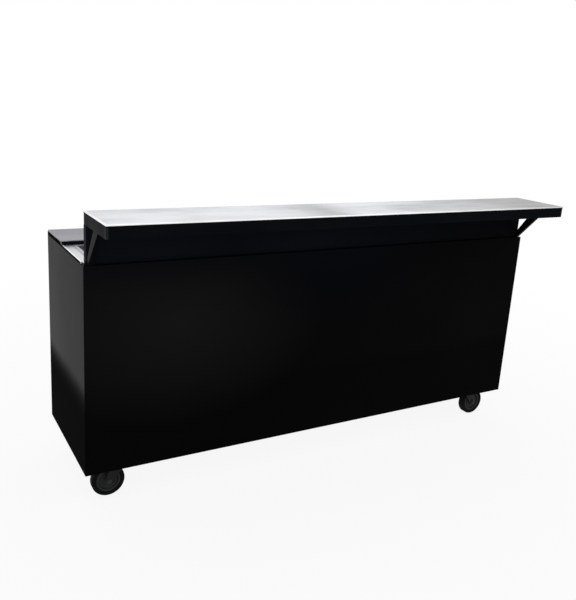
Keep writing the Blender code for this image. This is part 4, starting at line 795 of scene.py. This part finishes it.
DISH_MARGIN, DISH_DEPTH, GASKET_WIDTH = 0.055, 0.004, 0.014
PULL_RADIUS, PULL_BEND, PULL_FOOT = 0.005, 0.012, 0.010
for label in ENDS:
    body = f"{label}_door"
    low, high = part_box(f"door_{label}")
    leaf = new_box(f"door_leaf_{label}", low, high)
    pick(leaf, faces=lambda at, normal: normal.y < -AXIAL)
    bpy.ops.mesh.inset(thickness=DISH_MARGIN, depth=0.0)
    bpy.ops.mesh.inset(thickness=DISH_DEPTH, depth=-DISH_DEPTH)
    done()
    round_edges(leaf, 0.0022, 4, 25.0)
    fit(leaf, "stainless", brushed, f"door_{label}", body=body)

    low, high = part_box(f"gasket_{label}")
    near, far = low.y, high.y
    rib = [(0.0012, far), (0.0, far - 0.0018), (0.0016, (near + far) / 2), (0.0, near + 0.0022),
           (0.0012, near + 0.0004), (0.0035, near), (0.0060, near + 0.0006)]
    rib += [(GASKET_WIDTH - inset, height) for inset, height in reversed(rib)]
    fit(surround(f"ribbed_gasket_{label}", rib, low, high, "Y"), "gasket_rubber", rubber, f"gasket_{label}",
        body=body)

    low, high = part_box(f"handle_{label}")
    at, out = (low.x + high.x) / 2, high.y - PULL_RADIUS
    top, foot = high.z - PULL_RADIUS, low.z + PULL_RADIUS
    deselect()
    bpy.ops.mesh.primitive_circle_add(vertices=20, radius=PULL_RADIUS, location=(at, low.y, top),
                                      rotation=(math.pi / 2, 0.0, 0.0))
    pull = bpy.context.object
    bpy.ops.object.transform_apply()
    open_all(pull)
    run = out - PULL_BEND - low.y
    for move, bend_at in (((0.0, run, 0.0), top - PULL_BEND),
                          ((0.0, 0.0, foot - top + 2 * PULL_BEND), foot + PULL_BEND)):
        bpy.ops.mesh.extrude_region_move(TRANSFORM_OT_translate={"value": move})
        bpy.ops.mesh.spin(steps=8, angle=math.pi / 2, center=(at, out - PULL_BEND, bend_at),
                          axis=(1.0, 0.0, 0.0))
    bpy.ops.mesh.extrude_region_move(TRANSFORM_OT_translate={"value": (0.0, -run, 0.0)})
    bpy.ops.mesh.select_all(action="SELECT")
    bpy.ops.mesh.remove_doubles(threshold=MERGE)
    bpy.ops.mesh.select_all(action="DESELECT")
    bpy.ops.mesh.select_non_manifold()
    bpy.ops.mesh.fill_holes(sides=0)
    face_out()
    bpy.ops.object.shade_smooth_by_angle(angle=math.radians(40.0))
    collar = [(0.0, 0.0), (PULL_FOOT, 0.0), (PULL_FOOT, 0.0014), (PULL_FOOT - 0.0012, 0.0026),
              (PULL_RADIUS, 0.0032), (0.0, 0.0032)]
    feet = [lathe("foot", collar, (at, low.y, level), "Y", 32) for level in (top, foot)]
    fit(join(f"pull_bar_{label}", [pull] + feet), "stainless", satin, f"handle_{label}", body=body)


# The control fascia and the louvred service panel: brushed sheet folded to shallow boxes and screwed to the
# face frame, with the thermostat, the power switch, the supply gland and a ladder of pressed air hoods.
black_plastic = finish("black_moulding", (50.0, 6.0),
                       ((0.3, (0.009, 0.009, 0.009)), (0.7, (0.018, 0.018, 0.018))),
                       (0.32, 0.5, 80.0), (0.08, 0.0002, 1100.0, 1.0), specular=0.4)
red_plastic = finish("red_moulding", (60.0, 5.0), ((0.3, (0.36, 0.010, 0.009)), (0.7, (0.48, 0.018, 0.015))),
                     (0.28, 0.45, 120.0), (0.06, 0.0002, 900.0, 1.0), specular=0.45)
dial_ink = finish("dial_ink", (400.0, 3.0), ((0.3, (0.014, 0.014, 0.015)), (0.7, (0.032, 0.032, 0.034))),
                  specular=0.2, roughness=0.6)

cover("control_fascia", "fascia_sheet", "stainless", brushed, 0.0010, 3)
cover("louvre_panel", "louvre_sheet", "stainless", brushed, SHEET_EDGE)

FLUTES, FLUTE_DEPTH, FLUTE_IN, FLUTE_OUT, FLUTE_FOOT = 18, 0.035, 0.0140, 0.0165, 0.005
low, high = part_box("thermostat_knob")
panel_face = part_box("control_fascia")[1].y
knob_at = Vector(((low.x + high.x) / 2, panel_face, (low.z + high.z) / 2))
knob_radius, knob_depth, knob_foot = (high.x - low.x) / 2, high.y - panel_face, low.y - panel_face
knob_outline = [(0.0, knob_foot), (0.0028, knob_foot), (0.0028, 0.0004), (knob_radius, 0.0004),
                (knob_radius, 0.0020), (knob_radius - 0.0014, 0.0034), (0.0168, 0.0046), (0.0160, 0.0058),
                (0.0150, knob_depth - 0.0046), (0.0138, knob_depth - 0.0032), (0.0, knob_depth - 0.0028)]
knob = lathe("thermostat_dial", knob_outline, knob_at, "Y", 72)
for vertex in knob.data.vertices:
    reach = Vector((vertex.co.x - knob_at.x, vertex.co.z - knob_at.z))
    if FLUTE_IN < reach.length < FLUTE_OUT and vertex.co.y > panel_face + FLUTE_FOOT:
        shrink = 1.0 - FLUTE_DEPTH * (1.0 + math.cos(FLUTES * math.atan2(reach.y, reach.x)))
        vertex.co.x, vertex.co.z = knob_at.x + shrink * reach.x, knob_at.z + shrink * reach.y
POINTER_HALF, POINTER_DEPTH, POINTER_TAIL, POINTER_TIP = 0.0012, 0.006, -0.004, 0.0150
pointer = new_box("pointer", knob_at + Vector((-POINTER_HALF, knob_depth - POINTER_DEPTH, POINTER_TAIL)),
                  knob_at + Vector((POINTER_HALF, knob_depth, POINTER_TIP)))
round_edges(pointer, 0.0004)
fit(join("thermostat_dial", [knob, pointer]), "black_plastic", black_plastic, "thermostat_knob",
    body="thermostat")

SCALE_RADIUS, SCALE_MARKS, SCALE_SWEEP = 0.0255, 15, math.radians(270.0)
MARK_HALF, MARK_LONG, MARK_SHORT, MARK_SEAT, MARK_RISE = 0.0004, 0.0040, 0.0024, -0.0002, 0.00015
NUMERAL_SIZE, NUMERAL_RISE, NUMERAL_OUT = 0.0065, 0.0001, 0.0090
marks = []
for number in range(SCALE_MARKS):
    turn = SCALE_SWEEP * (number / (SCALE_MARKS - 1) - 0.5)
    length = MARK_LONG if number % 2 == 0 else MARK_SHORT
    mark = new_box("mark", (-MARK_HALF, MARK_SEAT, SCALE_RADIUS),
                   (MARK_HALF, MARK_RISE, SCALE_RADIUS + length))
    mark.data.transform(Matrix.Translation(knob_at) @ Matrix.Rotation(-turn, 4, "Y"))
    round_edges(mark, 0.00008, 1)
    marks.append(mark)
    if number % 2 == 0:
        deselect()
        bpy.ops.object.text_add()
        numeral = bpy.context.object
        numeral.data.body = str(number // 2)
        numeral.data.size = NUMERAL_SIZE
        numeral.data.extrude = NUMERAL_RISE
        numeral.data.align_x = numeral.data.align_y = "CENTER"
        bpy.ops.object.convert(target="MESH")
        spread = Vector((-math.sin(turn), 0.0, math.cos(turn))) * (SCALE_RADIUS + NUMERAL_OUT)
        numeral.data.transform(Matrix.Translation(knob_at + spread) @ Matrix.Rotation(math.pi, 4, "Z")
                               @ Matrix.Rotation(math.pi / 2, 4, "X"))
        marks.append(numeral)
fit(join("dial_scale", marks), "black_plastic", dial_ink)

low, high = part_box("power_switch")
BEZEL_WIDTH, BEZEL_RISE = 0.004, 0.0026
around = Vector((BEZEL_WIDTH, 0.0, BEZEL_WIDTH))
bezel = [(0.0, -0.0004), (0.0, 0.0016), (0.0010, BEZEL_RISE), (BEZEL_WIDTH - 0.0014, BEZEL_RISE),
         (BEZEL_WIDTH - 0.0004, 0.0018), (BEZEL_WIDTH - 0.0004, -0.0004)]
bezel = [(inset, panel_face + height) for inset, height in bezel]
fit(surround("switch_bezel", bezel, low - around, high + around, "Y"), "black_plastic",
    black_plastic)
cover("power_switch", "rocker", "red_plastic", red_plastic, 0.0006, 3, "switch")

low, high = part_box("power_inlet")
inlet_at = Vector(((low.x + high.x) / 2, panel_face, (low.z + high.z) / 2))
gland_foot, gland_top = low.y - panel_face, high.y - panel_face
GLAND_BORE = 0.0052
barrel = [(GLAND_BORE, gland_foot), (0.0100, gland_foot), (0.0106, gland_foot + 0.0006), (0.0106, 0.0004),
          (GLAND_BORE, 0.0004)]
flange = [(GLAND_BORE, 0.0004), (0.0154, 0.0004), (0.0160, 0.0010), (0.0160, 0.0024), (0.0150, 0.0032),
          (GLAND_BORE, 0.0032)]
nose = [(GLAND_BORE, 0.0032), (0.0124, 0.0032), (0.0124, 0.0056), (0.0112, 0.0072), (0.0080, gland_top),
        (GLAND_BORE + 0.0006, gland_top), (GLAND_BORE, gland_top - 0.0008)]
gland = [lathe("cable_gland", outline, inlet_at, "Y", steps)
         for outline, steps in ((barrel, 32), (flange, 40), (nose, 8))]
fit(join("cable_gland", gland), "black_plastic", black_plastic, "power_inlet")

LOUVRES, LOUVRE_PITCH, LOUVRE_FOOT, LOUVRE_GAP = 14, 0.028, 0.2709, 0.010
LOUVRE_LEFT, LOUVRE_RIGHT, LOUVRE_LAP = 0.536, 0.937, 0.004
HOOD_REACH, HOOD_RISE, HOOD_SHEET = 0.0055, 0.004, 0.0009
HOOD_SLOPE, HOOD_TAPER, HOOD_BEND = 0.0030, 0.006, 0.0028
hood = new_box("hood", (LOUVRE_LEFT - LOUVRE_LAP, panel_face, LOUVRE_FOOT - 0.0005),
               (LOUVRE_RIGHT + LOUVRE_LAP, panel_face + HOOD_REACH, LOUVRE_FOOT + LOUVRE_GAP + HOOD_RISE))
pick(hood, faces=lambda at, normal: normal.y < -AXIAL or normal.z < -AXIAL)
bpy.ops.mesh.delete(type="FACE")
done()
for vertex in hood.data.vertices:
    if vertex.co.y > panel_face + TOUCH:
        if vertex.co.z > LOUVRE_FOOT + LOUVRE_GAP / 2:
            vertex.co.y = panel_face + HOOD_SLOPE
            vertex.co.z -= HOOD_SLOPE
        vertex.co.x += HOOD_TAPER if vertex.co.x < (LOUVRE_LEFT + LOUVRE_RIGHT) / 2 else -HOOD_TAPER
bevel_edges(hood, HOOD_BEND, 4, lambda at, along: at.y > panel_face + 0.001 and at.z > LOUVRE_FOOT + 0.001)
modify(hood, "SOLIDIFY", thickness=HOOD_SHEET, offset=-1.0)
bpy.ops.object.shade_smooth_by_angle(angle=math.radians(35.0))
hoods = [copy_of(hood, "hood_copy", Matrix.Translation((0.0, 0.0, number * LOUVRE_PITCH)))
         for number in range(LOUVRES)]
discard(hood)
fit(join("louvre_hoods", hoods), "stainless", brushed)

SCREW_RADIUS, SCREW_RISE, SCREW_SEAT, RECESS_TOP = 0.0046, 0.0022, -0.0005, 0.004
dome = [(0.0, SCREW_SEAT), (SCREW_RADIUS, SCREW_SEAT), (SCREW_RADIUS, 0.0005), (0.0042, 0.0012),
        (0.0030, 0.0018), (0.0014, SCREW_RISE), (0.0, SCREW_RISE)]
screw = lathe("screw", dome, (0.0, 0.0, 0.0), "Y", 24)
for wide, tall, floor_at in ((0.0026, 0.0006, 0.0008), (0.00055, 0.0026, 0.0007)):
    recess = new_box("recess", (-wide, floor_at, -tall), (wide, RECESS_TOP, tall))
    modify(screw, "BOOLEAN", operation="DIFFERENCE", object=recess, solver="EXACT")
    discard(recess)
open_all(screw)
bpy.ops.mesh.remove_doubles(threshold=MERGE)
bpy.ops.mesh.dissolve_degenerate(threshold=MERGE)
done()
PANEL_IN, FASCIA_IN, FASCIA_BAY, FASCIA_DROP = 0.022, 0.025, 0.675, 0.018
low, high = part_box("louvre_panel")
places = [(x, z) for x in (low.x + PANEL_IN, high.x - PANEL_IN)
          for z in (low.z + PANEL_IN, (low.z + high.z) / 2, high.z - PANEL_IN)]
low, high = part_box("control_fascia")
places += [(x, z) for x in (low.x + FASCIA_IN, low.x + FASCIA_BAY, high.x - FASCIA_BAY, high.x - FASCIA_IN)
           for z in (low.z + FASCIA_DROP, high.z - FASCIA_DROP)]
screws = [copy_of(screw, "screw_copy", Matrix.Translation((x, panel_face, z))) for x, z in places]
discard(screw)
fit(join("panel_screws", screws), "stainless", bright_zinc)


# The refrigeration unit: a sealed black compressor, a finned condenser behind a galvanised fan shroud, and
# the copper line up to the coil under the tub, on a folded base behind the service panel. The tub drains by
# a brass valve with a red lever.
compressor_paint = finish("compressor_paint", (18.0, 7.0),
                          ((0.3, (0.007, 0.007, 0.008)), (0.7, (0.016, 0.016, 0.016))),
                          (0.3, 0.5, 45.0), (0.12, 0.0004, 300.0, 2.0), specular=0.4)
copper = finish("drawn_copper", (28.0, 7.0), ((0.3, (0.40, 0.17, 0.10)), (0.7, (0.70, 0.36, 0.21))),
                (0.25, 0.45, 60.0), metallic=1.0)
brass = finish("cast_brass", (45.0, 6.0), ((0.3, (0.50, 0.34, 0.12)), (0.7, (0.68, 0.50, 0.20))),
               (0.28, 0.48, 80.0), (0.08, 0.0003, 500.0, 2.0), metallic=1.0)
fins = finish("condenser_fins", (60.0, 6.0), ((0.3, (0.42, 0.43, 0.44)), (0.7, (0.62, 0.63, 0.64))),
              (0.3, 0.5, 110.0), metallic=1.0)

TUBE_EDGE = 0.0003
cover("unit_base", "unit_tray", "galvanised", galvanised, SHEET_EDGE)
cover("condenser", "fin_block", "fin_aluminium", fins, TUBE_EDGE, 1)
cover("fan_shroud", "shroud_sheet", "galvanised", galvanised, SHEET_EDGE)
cover("fan_motor", "fan_motor_can", "compressor_paint", compressor_paint, 0.0015, 3)
cover("fan_blade", "fan_rotor", "black_plastic", black_plastic, 0.0005, body="fan")
cover("suction_line", "copper_line", "copper", copper, TUBE_EDGE, 1)
cover("evaporator_coil", "copper_coil", "copper", copper, TUBE_EDGE, 1)
cover("drain_valve", "brass_valve", "brass", brass, 0.0006)
cover("drain_lever", "valve_lever", "red_plastic", red_plastic, SHEET_EDGE, body="drain_handle")

CAN_RADIUS, SEAM_RISE, SEAM_LEVEL = 0.0735, 0.0015, 0.095
low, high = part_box("compressor")
can_at = Vector(((low.x + high.x) / 2, (low.y + high.y) / 2, low.z))
foot_radius, can_height = (high.x - low.x) / 2, high.z - low.z
can = [(0.0, 0.0), (foot_radius - 0.001, 0.0), (foot_radius, 0.001), (foot_radius, 0.004),
       (foot_radius - 0.001, 0.005), (CAN_RADIUS + 0.004, 0.0056), (CAN_RADIUS + 0.001, 0.0076),
       (CAN_RADIUS, 0.011), (CAN_RADIUS, SEAM_LEVEL - 0.006), (CAN_RADIUS + SEAM_RISE, SEAM_LEVEL - 0.005),
       (CAN_RADIUS + SEAM_RISE, SEAM_LEVEL), (CAN_RADIUS, SEAM_LEVEL + 0.001)]
shoulder = can_height - CAN_RADIUS / 2
can += [(CAN_RADIUS * math.cos(a), shoulder + CAN_RADIUS / 2 * math.sin(a))
        for a in (math.pi / 18 * i for i in range(9))]
can.append((0.0, can_height))
can_piece = lathe("compressor_can", can, can_at, "Z", 64)
TERMINAL_X, TERMINAL_Y, TERMINAL_FOOT, TERMINAL_TOP = 0.024, 0.012, 0.030, 0.080
terminal = new_box("terminal", can_at + Vector((-TERMINAL_X, CAN_RADIUS - TERMINAL_Y, TERMINAL_FOOT)),
                   can_at + Vector((TERMINAL_X, CAN_RADIUS + TERMINAL_Y, TERMINAL_TOP)))
round_edges(terminal, 0.004, 3)
fit(join("compressor_can", [can_piece, terminal]), "compressor_paint", compressor_paint,
    "compressor")


# The brake pedals of the two casters on the operator's side: moulded in black plastic, each on the pin across
# its fork's ears, and pressed down onto the tyre by foot.
for end in ENDS:
    node = f"brake_pedal_rear_{end}"
    cover(node, f"{node}_moulding", "black_plastic", black_plastic, PANEL_EDGE, 3, f"pedal_rear_{end}")
